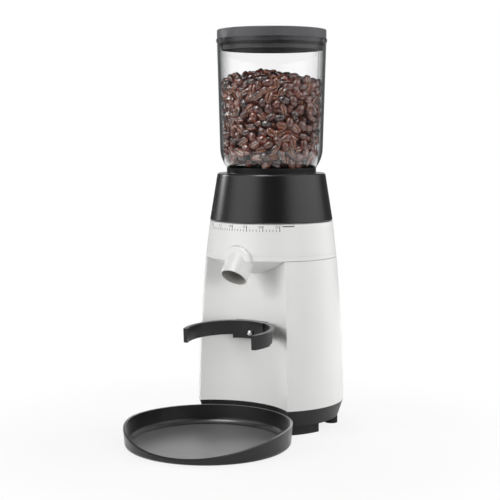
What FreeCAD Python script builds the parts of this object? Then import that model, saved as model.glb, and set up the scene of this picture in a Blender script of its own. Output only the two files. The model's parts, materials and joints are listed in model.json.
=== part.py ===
import FreeCAD, Part
import math
import os

# Burr coffee grinder in millimetres, +Z up, standing on z = 0 with its front towards -Y.
# Every piece is drawn about the burr axis, then moved so that the origin lies on the table under
# the middle of the whole grinder, tray included.

# Heights of the stack, from the table up
FOOT_HEIGHT = 9.2
BASE_HEIGHT = 16.3
BODY_HEIGHT = 143.6
HEAD_SEAM = 0.3
HEAD_HEIGHT = 35.4
COLLAR_GAP = 0.6
COLLAR_HEIGHT = 47.0
NECK_SHOWN = 5.2
HOPPER_HEIGHT = 126.0
LID_HEIGHT = 9.3

# Outer radii about the burr axis
BODY_BOTTOM_RADIUS = 73.2
BASE_TAPER = 5.5
BODY_TOP_RADIUS = 65.3
BODY_BULGE = 1.5
HEAD_TOP_RADIUS = 61.4
COLLAR_BOTTOM_RADIUS = 61.3
COLLAR_TOP_RADIUS = 53.7
HOPPER_NECK_RADIUS = 44.5
HOPPER_LOW_RADIUS = 51.1
HOPPER_TOP_RADIUS = 54.2
LID_RADIUS = 54.1

# Walls, edge roundings and clearances
WALL = 2.5
HOPPER_WALL = 2.2
EDGE = 1.0
SNUG = 0.05
SLIDING = 0.08
FIT = 0.3

# Front recess of the lower body: an upright cylinder cut into its front
RECESS_RADIUS = 78.0
PANEL_FRONT = 34.0
CHIN_DROP = 15.2
CHIN_GAP = 0.8
GROOVE_HEIGHT = 4.8
GROOVE_SIZE = 0.8
SPIGOT_HEIGHT = 5.0
SPIGOT_GAP = 2.0

# Hopper, lid and collar
HOPPER_CURVE = 32.0
HOPPER_FLOOR_THICKNESS = 4.5
HOPPER_FUNNEL = 9.0
THROAT_RADIUS = 30.0
BEAD_HEIGHT = 2.6
BEAD_DEPTH = 0.7
SKIRT_RADIUS = 50.6
SKIRT_DEPTH = 10.6
SKIRT_WALL = 2.0
SEAL_HEIGHT = 3.0
SOCKET_DEPTH = 14.0
COLLAR_ROUNDING = 2.5

# Burrs, shaft and grind chamber
SHAFT_RADIUS = 4.0
BUSH_RADIUS = 6.5
SEAL_THICKNESS = 4.0
CHAMBER_BORE = 31.0
NECK_BORE = 34.0
NECK_WALL = 3.0
CHAMBER_FLOOR = 4.0
CHAMBER_LEG = 10.0
CHAMBER_DEPTH = 13.0
HUB_RADIUS = 9.5
LEG_RADIUS = 5.0
LEG_CIRCLE = 31.0
LEG_COUNT = 3
IMPELLER_RADIUS = 29.0
IMPELLER_DISC = 2.5
IMPELLER_HUB = 8.0
IMPELLER_BLADES = 6
BLADE_THICKNESS = 2.0
CONE_BURR_RADIUS = 19.0
CONE_BURR_TOP_RADIUS = 10.0
CONE_BURR_HEIGHT = 26.0
CONE_BURR_TEETH = 14
BURR_TOOTH_DEPTH = 1.6
BURR_TWIST = 20.0
BURR_GAP = 0.8
RING_BURR_RADIUS = 27.5
RING_BURR_FLARE = 24.5
RING_BURR_HEIGHT = 16.0
RING_BURR_TEETH = 24
CARRIER_LIP = 2.0
CARRIER_LIP_RADIUS = 23.5
CARRIER_WALL = 3.0
CARRIER_FLANGE = 16.0
CARRIER_SLEEVE = 10.0
CARRIER_KEY_WIDTH = 6.0
CARRIER_KEY_REACH = 1.8
CARRIER_TRAVEL = 1.2
NUT_WIDTH = 13.0
NUT_SIDES = 6
NUT_HEIGHT = 6.0
SPRING_CLEARANCE = 0.6
SPRING_WALL = 0.7
SPRING_FOLDS = 6

# Outlet chute, measured from the middle of its mouth along its slope
MOUTH_REACH = 69.2
MOUTH_HEIGHT = 153.6
CHUTE_ANGLE = 51.0
CHUTE_BORE = 11.7
CHUTE_WALL = 1.8
CHUTE_LENGTH = 38.0
CHUTE_BOSS = 17.0
CHUTE_BOSS_DROP = 2.2
CHUTE_BOSS_STICKOUT = 1.2
CHUTE_BOSS_ROUNDING = 2.4
CHUTE_FLANGE = 3.0
CHUTE_EAR = 18.5
CHUTE_EAR_RADIUS = 4.0
CHUTE_SCREW_LENGTH = 9.0
MOUTH_ROUNDING = 0.6
PORT_WALL = 3.8
PORT_LENGTH = 24.0
PORT_ROOF = 2.0

# Chassis plate and its posts
PLATE_THICKNESS = 4.0
POST_RADIUS = 3.5
POST_CIRCLE = 56.8
POST_ANGLES = (-141.0, -98.0, 98.0, 141.0)
POST_SCREW_LENGTH = 12.0

# Screws
SCREW_RADIUS = 1.5
SCREW_HEAD_RADIUS = 3.0
SCREW_HEAD_HEIGHT = 2.0
SCREW_SLOT = 0.7

# Two-stage gear train: motor pinion, double idler, output gear on the drive shaft
PRESSURE_ANGLE = 25.0
DEDENDUM = 1.25
BACKLASH = 0.16
FIRST_MODULE = 1.0
MOTOR_TEETH = 12
IDLER_BIG_TEETH = 42
SECOND_MODULE = 1.25
IDLER_SMALL_TEETH = 12
OUTPUT_TEETH = 36
MOTOR_DISTANCE = 24.0
FIRST_FACE = 8.0
SECOND_FACE = 10.0
GEAR_SPACE = 1.5
CASE_HEIGHT = 30.0
CASE_FLOOR = 3.0
CASE_WALL = 2.5
CASE_COVER = 3.0
CASE_EAR_ANGLE = 30.0
BUSH_LENGTH = 8.0
IDLER_PIN_RADIUS = 2.5

# Motor
MOTOR_RADIUS = 25.0
MOTOR_LENGTH = 68.0
MOTOR_CAP = 4.0
MOTOR_WALL = 1.8
MOTOR_SHAFT_RADIUS = 2.5
MAGNET_THICKNESS = 5.0
MAGNET_LENGTH = 40.0
MAGNET_LIFT = 2.0
ARMATURE_RADIUS = 16.5
ARMATURE_SLOTS = 10
ARMATURE_SLOT_WIDTH = 2.4
COMMUTATOR_RADIUS = 7.0
COMMUTATOR_LENGTH = 12.0
BRUSH_SIZE = 5.0
MOTOR_SCREW_CIRCLE = 14.0

# Cradle and start button
CRADLE_RADIUS = 44.3
CRADLE_WALL = 4.6
CRADLE_TOP = 104.5
CRADLE_HEIGHT = 14.0
CRADLE_TIP = 16.5
CRADLE_LEAN = 3.2
CRADLE_LIP = 4.0
CRADLE_STEP = 2.4
CRADLE_STEP_START = 3.8
CRADLE_BLOCK_WIDTH = 35.5
CRADLE_BLOCK_PROUD = 1.0
CRADLE_BLOCK_DROP = 3.5
CRADLE_SCREW_SPREAD = 15.3
BUTTON_RADIUS = 2.9
BUTTON_DROP = 8.6
BUTTON_STICKOUT = 3.6
BUTTON_TRAVEL = 3.0
BUTTON_SHOULDER = 6.0
BUTTON_STEM_RADIUS = 2.5
BUTTON_ROUNDING = 2.4
BEZEL_WALL = 1.4
BEZEL_STICKOUT = 1.5
BEZEL_FLANGE = 2.0
BEZEL_ROUNDING = 0.5
BUTTON_SPRING_LENGTH = 9.0
BUTTON_SPRING_TURNS = 5
BUTTON_SPRING_WIRE = 0.5
BRACKET_THICKNESS = 2.0
BRACKET_WIDTH = 24.0
BRACKET_HEIGHT = 18.0
MICROSWITCH_WIDTH = 20.0
MICROSWITCH_DEPTH = 6.5
MICROSWITCH_HEIGHT = 10.0

# Tray: its rim falls in one arc towards the front, and it stands turned as it was photographed
TRAY_RADIUS = 79.8
TRAY_FLARE = 1.7
TRAY_CENTRE = 113.5
TRAY_TURN = 12.8
TRAY_WALL = 2.2
TRAY_FLOOR = 2.4
TRAY_BACK_RIM = 20.8
TRAY_FRONT_RIM = 4.1
TRAY_SWEEP_START = -10.8
TRAY_ROUNDING = 4.0
TRAY_COVE = 6.0
TRAY_GAP = 0.5

# Base and feet
BASE_FLOOR = 3.0
BASE_FRONT_WALL = 7.0
FRONT_FOOT_ANGLES = (50.0, 78.0)
FRONT_FOOT_WIDTH = 11.0
FRONT_FOOT_INSET = 3.0
REAR_FOOT_INSET = 0.3
REAR_FOOT_ANGLE = 118.0
REAR_FOOT_RADIUS = 6.5

# Control board, rocker switch, vents and cord gland
BOARD_WIDTH = 60.0
BOARD_DEPTH = 44.0
BOARD_THICKNESS = 1.6
BOARD_LIFT = 4.0
BOARD_BACK = 4.0
BOARD_SCREW_INSET = 4.0
STANDOFF_RADIUS = 3.2
TRANSFORMER_SIZE = (18.0, 22.0, 22.0)
TRANSFORMER_X = -13.0
CAPACITOR_RADIUS = 5.0
CAPACITOR_HEIGHT = 22.0
CAPACITOR_X = 6.0
RELAY_SIZE = (9.0, 10.0, 11.0)
TERMINAL_SIZE = (9.0, 8.0, 11.0)
RELAY_X = 17.5
ROCKER_HEIGHT = 52.0
ROCKER_RADIUS = 8.0
ROCKER_WIDTH = 9.4
ROCKER_TILT = 12.0
ROCKER_DEPTH = 6.0
PIVOT_RADIUS = 1.5
SWITCH_WIDTH = 15.0
SWITCH_HEIGHT = 21.0
SWITCH_DEPTH = 18.0
SWITCH_RIM = 2.0
SWITCH_STICKOUT = 0.4
VENT_COUNT = 7
VENT_PITCH = 6.0
VENT_HEIGHT = 2.4
VENT_WIDTH = 34.0
VENT_LOW = 84.0
GLAND_RADIUS = 4.6
GLAND_BORE = 3.3
GLAND_FLANGE_RADIUS = 6.0
GLAND_FLANGE = 2.0
GLAND_HEIGHT = 18.6

# Levels that follow from the stack
BASE_BOTTOM = FOOT_HEIGHT
BODY_BOTTOM = BASE_BOTTOM + BASE_HEIGHT
BODY_TOP = BODY_BOTTOM + BODY_HEIGHT
HEAD_BOTTOM = BODY_TOP + HEAD_SEAM
HEAD_TOP = HEAD_BOTTOM + HEAD_HEIGHT
COLLAR_BOTTOM = HEAD_TOP + COLLAR_GAP
COLLAR_TOP = COLLAR_BOTTOM + COLLAR_HEIGHT
HOPPER_NECK_TOP = COLLAR_TOP + NECK_SHOWN
HOPPER_TOP = HOPPER_NECK_TOP + HOPPER_HEIGHT
LID_TOP = HOPPER_TOP + LID_HEIGHT
LEDGE_TOP = COLLAR_TOP - SOCKET_DEPTH
PLATE_BOTTOM = HEAD_BOTTOM + WALL + FIT
PLATE_TOP = PLATE_BOTTOM + PLATE_THICKNESS
CHAMBER_BOTTOM = PLATE_TOP + CHAMBER_LEG
CHAMBER_FLOOR_TOP = CHAMBER_BOTTOM + CHAMBER_FLOOR
SHELF_TOP = CHAMBER_FLOOR_TOP + CHAMBER_DEPTH
NECK_OUTER = NECK_BORE + NECK_WALL
NECK_TOP = LEDGE_TOP - FIT
IMPELLER_BOTTOM = CHAMBER_FLOOR_TOP + EDGE
CONE_BOTTOM = SHELF_TOP + EDGE
CONE_TOP = CONE_BOTTOM + CONE_BURR_HEIGHT
CARRIER_BOTTOM = SHELF_TOP + CARRIER_TRAVEL + EDGE
RING_BOTTOM = CARRIER_BOTTOM + CARRIER_LIP
CARRIER_OUTER = RING_BURR_RADIUS + SNUG + CARRIER_WALL
FLANGE_BOTTOM = CARRIER_BOTTOM + CARRIER_SLEEVE
CARRIER_TOP = FLANGE_BOTTOM + CARRIER_FLANGE
COVER_TOP = PLATE_BOTTOM
COVER_BOTTOM = COVER_TOP - CASE_COVER
CASE_BOTTOM = COVER_BOTTOM - CASE_HEIGHT
CASE_FLOOR_TOP = CASE_BOTTOM + CASE_FLOOR
FIRST_BOTTOM = CASE_FLOOR_TOP + GEAR_SPACE
FIRST_TOP = FIRST_BOTTOM + FIRST_FACE
SECOND_BOTTOM = FIRST_TOP + GEAR_SPACE
SECOND_TOP = SECOND_BOTTOM + SECOND_FACE
SHAFT_BOTTOM = CASE_BOTTOM + EDGE
MOTOR_TOP = CASE_BOTTOM
MOTOR_BOTTOM = MOTOR_TOP - MOTOR_LENGTH
BOARD_BOTTOM = BASE_BOTTOM + BASE_FLOOR + BOARD_LIFT
BOARD_TOP = BOARD_BOTTOM + BOARD_THICKNESS
CHUTE_OUTER = CHUTE_BORE + CHUTE_WALL
PORT_RADIUS = CHUTE_BORE + PORT_WALL
CRADLE_BOTTOM = CRADLE_TOP - CRADLE_HEIGHT
BUTTON_LEVEL = CRADLE_TOP - BUTTON_DROP

# Distances from the axis: a reach past the whole body, the base, and the front with its recess
BODY_REACH = BODY_BOTTOM_RADIUS + BODY_TOP_RADIUS
BASE_RADIUS = BODY_BOTTOM_RADIUS - BASE_TAPER
RECESS_CENTRE = PANEL_FRONT + RECESS_RADIUS
PANEL_BACK = PANEL_FRONT - WALL
CRADLE_CENTRE = PANEL_FRONT + FIT + CRADLE_RADIUS
CRADLE_INSIDE = CRADLE_CENTRE - CRADLE_RADIUS + CRADLE_WALL

# Tray: the arc of its rim's fall, its foremost point, and the shift to the origin
TRAY_BOTTOM_RADIUS = TRAY_RADIUS - TRAY_FLARE
TRAY_FALL = TRAY_BACK_RIM - TRAY_FRONT_RIM
TRAY_RUN = TRAY_RADIUS - TRAY_SWEEP_START
TRAY_ARC = (TRAY_RUN ** 2 + TRAY_FALL ** 2) / (2 * TRAY_FALL)
TRAY_FRONT_RUN = TRAY_RADIUS * math.cos(math.radians(TRAY_TURN)) - TRAY_SWEEP_START
TRAY_FRONT_LEVEL = TRAY_BACK_RIM - TRAY_ARC + math.sqrt(TRAY_ARC ** 2 - TRAY_FRONT_RUN ** 2)
TRAY_FRONT = TRAY_CENTRE + TRAY_BOTTOM_RADIUS + TRAY_FLARE * TRAY_FRONT_LEVEL / TRAY_BACK_RIM
AXIS_Y = (TRAY_FRONT - BODY_BOTTOM_RADIUS) / 2

# Gear centres: the idler stands where both meshes have their right distance
SECOND_DISTANCE = SECOND_MODULE * (OUTPUT_TEETH + IDLER_SMALL_TEETH) / 2
FIRST_DISTANCE = FIRST_MODULE * (MOTOR_TEETH + IDLER_BIG_TEETH) / 2
IDLER_Y = (SECOND_DISTANCE ** 2 - FIRST_DISTANCE ** 2 + MOTOR_DISTANCE ** 2) / (2 * MOTOR_DISTANCE)
IDLER_X = math.sqrt(SECOND_DISTANCE ** 2 - IDLER_Y ** 2)
OUTPUT_TIP = SECOND_MODULE * (OUTPUT_TEETH / 2 + 1)
IDLER_TIP = FIRST_MODULE * (IDLER_BIG_TEETH / 2 + 1)
MOTOR_CASE_RADIUS = MOTOR_SCREW_CIRCLE + SCREW_HEAD_RADIUS + EDGE

V = FreeCAD.Vector
UP = V(0, 0, 1)
BACKWARD = V(0, 1, 0)


def cylinder(radius, low, high, x=0.0, y=0.0):
    """Upright cylinder between two levels."""
    return Part.makeCylinder(radius, high - low, V(x, y, low))


def tube(outer, inner, low, high, x=0.0, y=0.0):
    """Upright tube between two levels."""
    return cylinder(outer, low, high, x, y).cut(cylinder(inner, low, high, x, y))


def block(x_range, y_range, z_range):
    """Box between the two ends of each range."""
    size = [end - start for start, end in (x_range, y_range, z_range)]
    return Part.makeBox(size[0], size[1], size[2], V(x_range[0], y_range[0], z_range[0]))


def rod(radius, start, end):
    """Cylinder from one point to another."""
    along = end - start
    return Part.makeCylinder(radius, along.Length, start, along)


def level_rod(radius, front, back, height, x=0.0):
    """Cylinder lying along Y at a height."""
    return rod(radius, V(x, front, height), V(x, back, height))


def joined(shapes):
    """One solid made of several that touch or overlap."""
    return shapes[0].multiFuse(shapes[1:]).removeSplitter()


def around(radius, degrees, height=0.0):
    """Point on a circle about the axis: 0 degrees is the front, positive turns towards +X."""
    turn = math.radians(degrees)
    return V(radius * math.sin(turn), -radius * math.cos(turn), height)


def line(start, end):
    """Straight edge."""
    return Part.LineSegment(start, end).toShape()


def rounded_wire(corners):
    """Closed wire in the XZ plane through (x, z, rounding) corners."""
    spots = [V(x, 0, z) for x, z, _ in corners]
    arcs = []
    spans = []
    for index, (_, _, rounding) in enumerate(corners):
        spot = spots[index]
        back = (spots[index - 1] - spot).normalize()
        ahead = (spots[(index + 1) % len(spots)] - spot).normalize()
        half = back.getAngle(ahead) / 2
        reach = rounding / math.tan(half)
        entry = spot + back * reach
        leave = spot + ahead * reach
        if rounding > 0:
            inward = (back + ahead).normalize()
            middle = spot + inward * (rounding / math.sin(half) - rounding)
            arcs.append(Part.Arc(entry, middle, leave).toShape())
        spans.append((entry, leave))
    lines = [line(spans[i - 1][1], spans[i][0]) for i in range(len(spans))]
    return Part.Wire(Part.__sortEdges__(arcs + lines))


def spun(corners):
    """Solid of revolution about the burr axis from (radius, height, rounding) corners."""
    return Part.Face(rounded_wire(corners)).revolve(V(0, 0, 0), UP, 360)


def spun_edges(edges):
    """Solid of revolution about the burr axis from the edges of a closed outline."""
    return Part.Face(Part.Wire(Part.__sortEdges__(edges))).revolve(V(0, 0, 0), UP, 360)


def screw(seat, direction, length):
    """Slotted screw: its head stands on the seat point and its shank points along direction."""
    head = rod(SCREW_HEAD_RADIUS, seat, seat - direction * SCREW_HEAD_HEIGHT)
    shank = rod(SCREW_RADIUS, seat, seat + direction * length)
    turn = FreeCAD.Rotation(UP, direction)
    slot = block((-SCREW_HEAD_RADIUS, SCREW_HEAD_RADIUS), (-SCREW_SLOT / 2, SCREW_SLOT / 2),
                 (-SCREW_HEAD_HEIGHT, -SCREW_HEAD_HEIGHT / 2))
    slot.Placement = FreeCAD.Placement(seat, turn).multiply(slot.Placement)
    return joined([head, shank]).cut(slot)


def screw_hole(seat, direction, length):
    """Clearance for a screw's shank."""
    return rod(SCREW_RADIUS + SNUG, seat, seat + direction * length)


def coil(radius, wire_radius, turns, length):
    """Helical spring standing on z = 0, wire included in its length."""
    rise = length - 2 * wire_radius
    helix = Part.makeHelix(rise / turns, rise, radius)
    section = Part.Wire(Part.makeCircle(wire_radius, V(radius, 0, 0), BACKWARD))
    spring = Part.Wire(helix.Edges).makePipeShell([section], True, True)
    spring.translate(V(0, 0, wire_radius))
    return spring


def gear(teeth, module, low, high, phase):
    """Involute spur gear about Z; phase is the angle of one tooth's middle, in radians."""
    pressure = math.radians(PRESSURE_ANGLE)
    pitch = module * teeth / 2
    base = pitch * math.cos(pressure)
    root = pitch - DEDENDUM * module
    tip = pitch + module
    involute = math.tan(pressure) - pressure
    half_tooth = math.pi / (2 * teeth) - BACKLASH / (4 * pitch) + involute

    def flank_angle(radius):
        """Half the tooth's width at a radius, as an angle."""
        slope = math.acos(min(1.0, base / radius))
        return half_tooth - (math.tan(slope) - slope)

    def spot(radius, angle):
        """Point of the outline."""
        return V(radius * math.cos(angle), radius * math.sin(angle), low)

    flank_start = max(base, root)
    middle = (flank_start + tip) / 2
    step = 2 * math.pi / teeth
    edges = []
    for index in range(teeth):
        centre = phase + index * step
        foot = flank_angle(flank_start)
        crown = flank_angle(tip)
        waist = flank_angle(middle)
        if root < base:
            edges.append(line(spot(root, centre - foot), spot(base, centre - foot)))
            edges.append(line(spot(base, centre + foot), spot(root, centre + foot)))
        edges.append(Part.Arc(spot(flank_start, centre - foot), spot(middle, centre - waist),
                              spot(tip, centre - crown)).toShape())
        edges.append(Part.Arc(spot(tip, centre - crown), spot(tip, centre),
                              spot(tip, centre + crown)).toShape())
        edges.append(Part.Arc(spot(tip, centre + crown), spot(middle, centre + waist),
                              spot(flank_start, centre + foot)).toShape())
        valley = min(root, flank_start)
        edges.append(Part.Arc(spot(valley, centre + foot), spot(valley, centre + step / 2),
                              spot(valley, centre + step - foot)).toShape())
    outline = Part.Face(Part.Wire(Part.__sortEdges__(edges)))
    return outline.extrude(V(0, 0, high - low))


def star(teeth, outer, inner, height, turn):
    """Closed zigzag wire of burr teeth at a height."""
    points = []
    for index in range(2 * teeth):
        radius = outer if index % 2 == 0 else inner
        angle = math.pi * index / teeth + math.radians(turn)
        points.append(V(radius * math.cos(angle), radius * math.sin(angle), height))
    return Part.makePolygon(points + points[:1])


def body_solid(inset):
    """Lower body's round outside, without its recess, drawn in by inset."""
    low = V(BODY_BOTTOM_RADIUS - inset, 0, BODY_BOTTOM)
    high = V(BODY_TOP_RADIUS - inset, 0, BODY_TOP)
    middle = (low + high) * 0.5 + V(BODY_BULGE, 0, 0)
    axis_low = V(0, 0, BODY_BOTTOM)
    axis_high = V(0, 0, BODY_TOP)
    return spun_edges([Part.Arc(low, middle, high).toShape(), line(high, axis_high),
                       line(axis_high, axis_low), line(axis_low, low)])


def recess(radius):
    """Upright cylinder of the front recess."""
    return cylinder(radius, 0, HEAD_TOP, 0, -RECESS_CENTRE)


def body_radius(height):
    """Outer radius of the lower body, from the chord of its gentle arc."""
    share = (height - BODY_BOTTOM) / BODY_HEIGHT
    chord = BODY_BOTTOM_RADIUS + (BODY_TOP_RADIUS - BODY_BOTTOM_RADIUS) * share
    return chord + 4 * BODY_BULGE * share * (1 - share)


def head_radius(height):
    """Outer radius of the head."""
    share = (height - HEAD_BOTTOM) / HEAD_HEIGHT
    return BODY_TOP_RADIUS + (HEAD_TOP_RADIUS - BODY_TOP_RADIUS) * share


def base_radius(height):
    """Outer radius of the base."""
    share = (height - BASE_BOTTOM) / BASE_HEIGHT
    return BASE_RADIUS + (BODY_BOTTOM_RADIUS - BASE_RADIUS) * share


def on_chute(shape):
    """Set a shape drawn along Z from z = 0 onto the chute's slope, from its mouth."""
    lean = FreeCAD.Rotation(V(1, 0, 0), CHUTE_ANGLE - 90)
    shape.Placement = FreeCAD.Placement(V(0, -MOUTH_REACH, MOUTH_HEIGHT), lean).multiply(shape.Placement)
    return shape


def hopper_outline(inset, neck_bottom, top):
    """Solid inside the hopper's wall line, drawn in by inset, from its neck to its top."""
    turn = math.acos((HOPPER_CURVE - HOPPER_LOW_RADIUS + HOPPER_NECK_RADIUS) / HOPPER_CURVE)
    curve_top = HOPPER_NECK_TOP + HOPPER_CURVE * math.sin(turn)
    radius = HOPPER_CURVE - inset
    middle_r = HOPPER_LOW_RADIUS - HOPPER_CURVE

    def curve_point(angle):
        """Point of the round bottom corner."""
        return V(middle_r + radius * math.cos(angle), 0, curve_top - radius * math.sin(angle))

    flare = (HOPPER_TOP_RADIUS - HOPPER_LOW_RADIUS) / (HOPPER_TOP - curve_top)
    top_radius = HOPPER_LOW_RADIUS - inset + flare * (top - curve_top)
    neck = HOPPER_NECK_RADIUS - inset
    neck_turn = math.acos((neck - middle_r) / radius)
    points = [V(0, 0, neck_bottom), V(neck, 0, neck_bottom), curve_point(neck_turn)]
    edges = [line(points[0], points[1]), line(points[1], points[2])]
    edges.append(Part.Arc(points[2], curve_point(neck_turn / 2), curve_point(0)).toShape())
    edges.append(line(curve_point(0), V(top_radius, 0, top)))
    edges.append(line(V(top_radius, 0, top), V(0, 0, top)))
    edges.append(line(V(0, 0, top), V(0, 0, neck_bottom)))
    return spun_edges(edges)


def hopper_solid():
    """Whole hopper: neck, funnel floor, tapered wall and rim bead."""
    outside = hopper_outline(0, LEDGE_TOP, HOPPER_TOP)
    bead = tube(HOPPER_TOP_RADIUS + BEAD_DEPTH, HOPPER_TOP_RADIUS - HOPPER_WALL,
                HOPPER_TOP - BEAD_HEIGHT, HOPPER_TOP)
    funnel_low = LEDGE_TOP + HOPPER_FLOOR_THICKNESS
    funnel_high = funnel_low + HOPPER_FUNNEL
    inside = hopper_outline(HOPPER_WALL, funnel_high, HOPPER_TOP + EDGE)
    funnel_radius = HOPPER_NECK_RADIUS - HOPPER_WALL
    funnel = Part.makeCone(THROAT_RADIUS, funnel_radius, HOPPER_FUNNEL, V(0, 0, funnel_low))
    throat = cylinder(THROAT_RADIUS, LEDGE_TOP, funnel_low)
    return joined([outside, bead]).cut(inside).cut(funnel).cut(throat)


def make_hopper():
    """Clear wall of the hopper, above its neck."""
    return hopper_solid().common(cylinder(BODY_REACH, HOPPER_NECK_TOP, HOPPER_TOP))


def make_hopper_base():
    """Black neck of the hopper with the funnel over the burrs."""
    return hopper_solid().common(cylinder(BODY_REACH, LEDGE_TOP, HOPPER_NECK_TOP))


def make_lid():
    """Cap with a band that stands on the hopper's rim and a skirt inside it."""
    skirt_bottom = HOPPER_TOP - SKIRT_DEPTH
    skirt_inside = SKIRT_RADIUS - SKIRT_WALL
    ceiling = LID_TOP - WALL
    return spun([(0, LID_TOP, 0), (LID_RADIUS, LID_TOP, EDGE), (LID_RADIUS, HOPPER_TOP, 0),
                 (SKIRT_RADIUS, HOPPER_TOP, 0), (SKIRT_RADIUS, skirt_bottom, 0),
                 (skirt_inside, skirt_bottom, 0), (skirt_inside, ceiling, 0), (0, ceiling, 0)])


def make_lid_seal():
    """Rubber ring on the lid's skirt."""
    low = HOPPER_TOP - SKIRT_DEPTH / 2 - SEAL_HEIGHT / 2
    outer = HOPPER_TOP_RADIUS - HOPPER_WALL - FIT - SNUG
    return tube(outer, SKIRT_RADIUS + SNUG, low, low + SEAL_HEIGHT)


def make_collar():
    """Black cone that turns on the chamber's neck and holds the hopper in its socket."""
    socket = HOPPER_NECK_RADIUS + FIT
    sleeve = NECK_OUTER + SLIDING
    foot = COLLAR_BOTTOM + EDGE
    return spun([(COLLAR_BOTTOM_RADIUS, COLLAR_BOTTOM, EDGE),
                 (COLLAR_TOP_RADIUS, COLLAR_TOP, COLLAR_ROUNDING), (socket, COLLAR_TOP, EDGE / 2),
                 (socket, LEDGE_TOP, 0), (sleeve, LEDGE_TOP, 0), (sleeve, foot, 0),
                 (sleeve + WALL, foot, 0), (sleeve + WALL, LEDGE_TOP - WALL, 0),
                 (socket + WALL, LEDGE_TOP - WALL, 0), (socket + WALL, COLLAR_TOP - WALL, 0),
                 (COLLAR_TOP_RADIUS - WALL, COLLAR_TOP - WALL, 0),
                 (COLLAR_BOTTOM_RADIUS - WALL, COLLAR_BOTTOM, 0)])


def make_head_shell():
    """White ring with a spigot inside the collar, a sloping chin over the recess and the chute's hole."""
    opening = NECK_OUTER + EDGE
    ring = spun([(BODY_TOP_RADIUS, HEAD_BOTTOM, EDGE / 2), (HEAD_TOP_RADIUS, HEAD_TOP, EDGE),
                 (opening, HEAD_TOP, 0), (opening, HEAD_TOP - WALL, 0),
                 (HEAD_TOP_RADIUS - WALL, HEAD_TOP - WALL, 0), (BODY_TOP_RADIUS - WALL, HEAD_BOTTOM, 0)])
    inner = PANEL_FRONT - WALL
    inner_level = HEAD_BOTTOM - CHIN_DROP * (BODY_TOP_RADIUS - inner) / (BODY_TOP_RADIUS - PANEL_FRONT)
    lip = BODY_TOP_RADIUS - EDGE
    chin = spun([(lip, HEAD_BOTTOM, 0), (inner, inner_level, 0), (inner, inner_level + WALL, 0),
                 (lip, HEAD_BOTTOM + WALL, 0)]).common(recess(RECESS_RADIUS - CHIN_GAP))
    groove_level = HEAD_BOTTOM + GROOVE_HEIGHT
    groove_radius = head_radius(groove_level)
    groove = tube(BODY_TOP_RADIUS + EDGE, groove_radius - GROOVE_SIZE,
                  groove_level - GROOVE_SIZE / 2, groove_level + GROOVE_SIZE / 2)
    spigot_radius = COLLAR_BOTTOM_RADIUS - WALL - SPIGOT_GAP
    spigot = tube(spigot_radius, spigot_radius - WALL, HEAD_TOP - WALL, HEAD_TOP + SPIGOT_HEIGHT)
    hole = on_chute(cylinder(CHUTE_OUTER + FIT, -EDGE, CHUTE_LENGTH))
    return joined([ring, chin, spigot]).cut(groove).cut(hole).cut(chute_boss(FIT))


def chute_boss(extra):
    """Round boss of the chute in the head's wall, down to the wall's lower edge, grown by extra."""
    front = BODY_TOP_RADIUS + CHUTE_BOSS_STICKOUT + extra
    back = head_radius(PLATE_TOP) - WALL - extra
    boss = level_rod(CHUTE_BOSS + extra, -front, -back, HEAD_BOTTOM - CHUTE_BOSS_DROP)
    above = block((-BODY_REACH, BODY_REACH), (-BODY_REACH, 0), (HEAD_BOTTOM - extra, HEAD_TOP))
    return boss.common(above)


def make_chute():
    """Outlet tube with a boss in the head's wall and two ears at its upper end."""
    ears = [block((-CHUTE_EAR, CHUTE_EAR), (-CHUTE_EAR_RADIUS, CHUTE_EAR_RADIUS),
                  (CHUTE_LENGTH - CHUTE_FLANGE, CHUTE_LENGTH))]
    for side in (-1, 1):
        ears.append(cylinder(CHUTE_EAR_RADIUS, CHUTE_LENGTH - CHUTE_FLANGE, CHUTE_LENGTH, side * CHUTE_EAR))
    body = joined([cylinder(CHUTE_OUTER, 0, CHUTE_LENGTH)] + ears)
    body = body.cut(cylinder(CHUTE_BORE, -EDGE, CHUTE_LENGTH + EDGE))
    for side in (-1, 1):
        body = body.cut(cylinder(SCREW_RADIUS + SNUG, 0, CHUTE_LENGTH + EDGE, side * CHUTE_EAR))
    mouth = [edge for edge in body.Edges if edge.BoundBox.ZMax < EDGE / 2]
    body = on_chute(body.makeFillet(MOUTH_ROUNDING, mouth))
    boss = chute_boss(0)
    crest = [e for e in boss.Edges if e.BoundBox.YMax < -BODY_TOP_RADIUS and e.BoundBox.ZLength > EDGE]
    boss = boss.makeFillet(CHUTE_BOSS_ROUNDING, crest)
    bore = on_chute(cylinder(CHUTE_BORE, -CHUTE_LENGTH, CHUTE_LENGTH + EDGE))
    return joined([body, boss.cut(bore)])


def make_chute_screws():
    """Two screws that hold the chute's ears on the chamber's port."""
    seats = [V(side * CHUTE_EAR, 0, CHUTE_LENGTH - CHUTE_FLANGE) for side in (-1, 1)]
    return on_chute(Part.makeCompound([screw(seat, UP, CHUTE_SCREW_LENGTH) for seat in seats]))


def leg_points(height):
    """Middles of the chamber's legs, one of them at the back."""
    return [around(LEG_CIRCLE, 180 + 360 * i / LEG_COUNT, height) for i in range(LEG_COUNT)]


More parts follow.
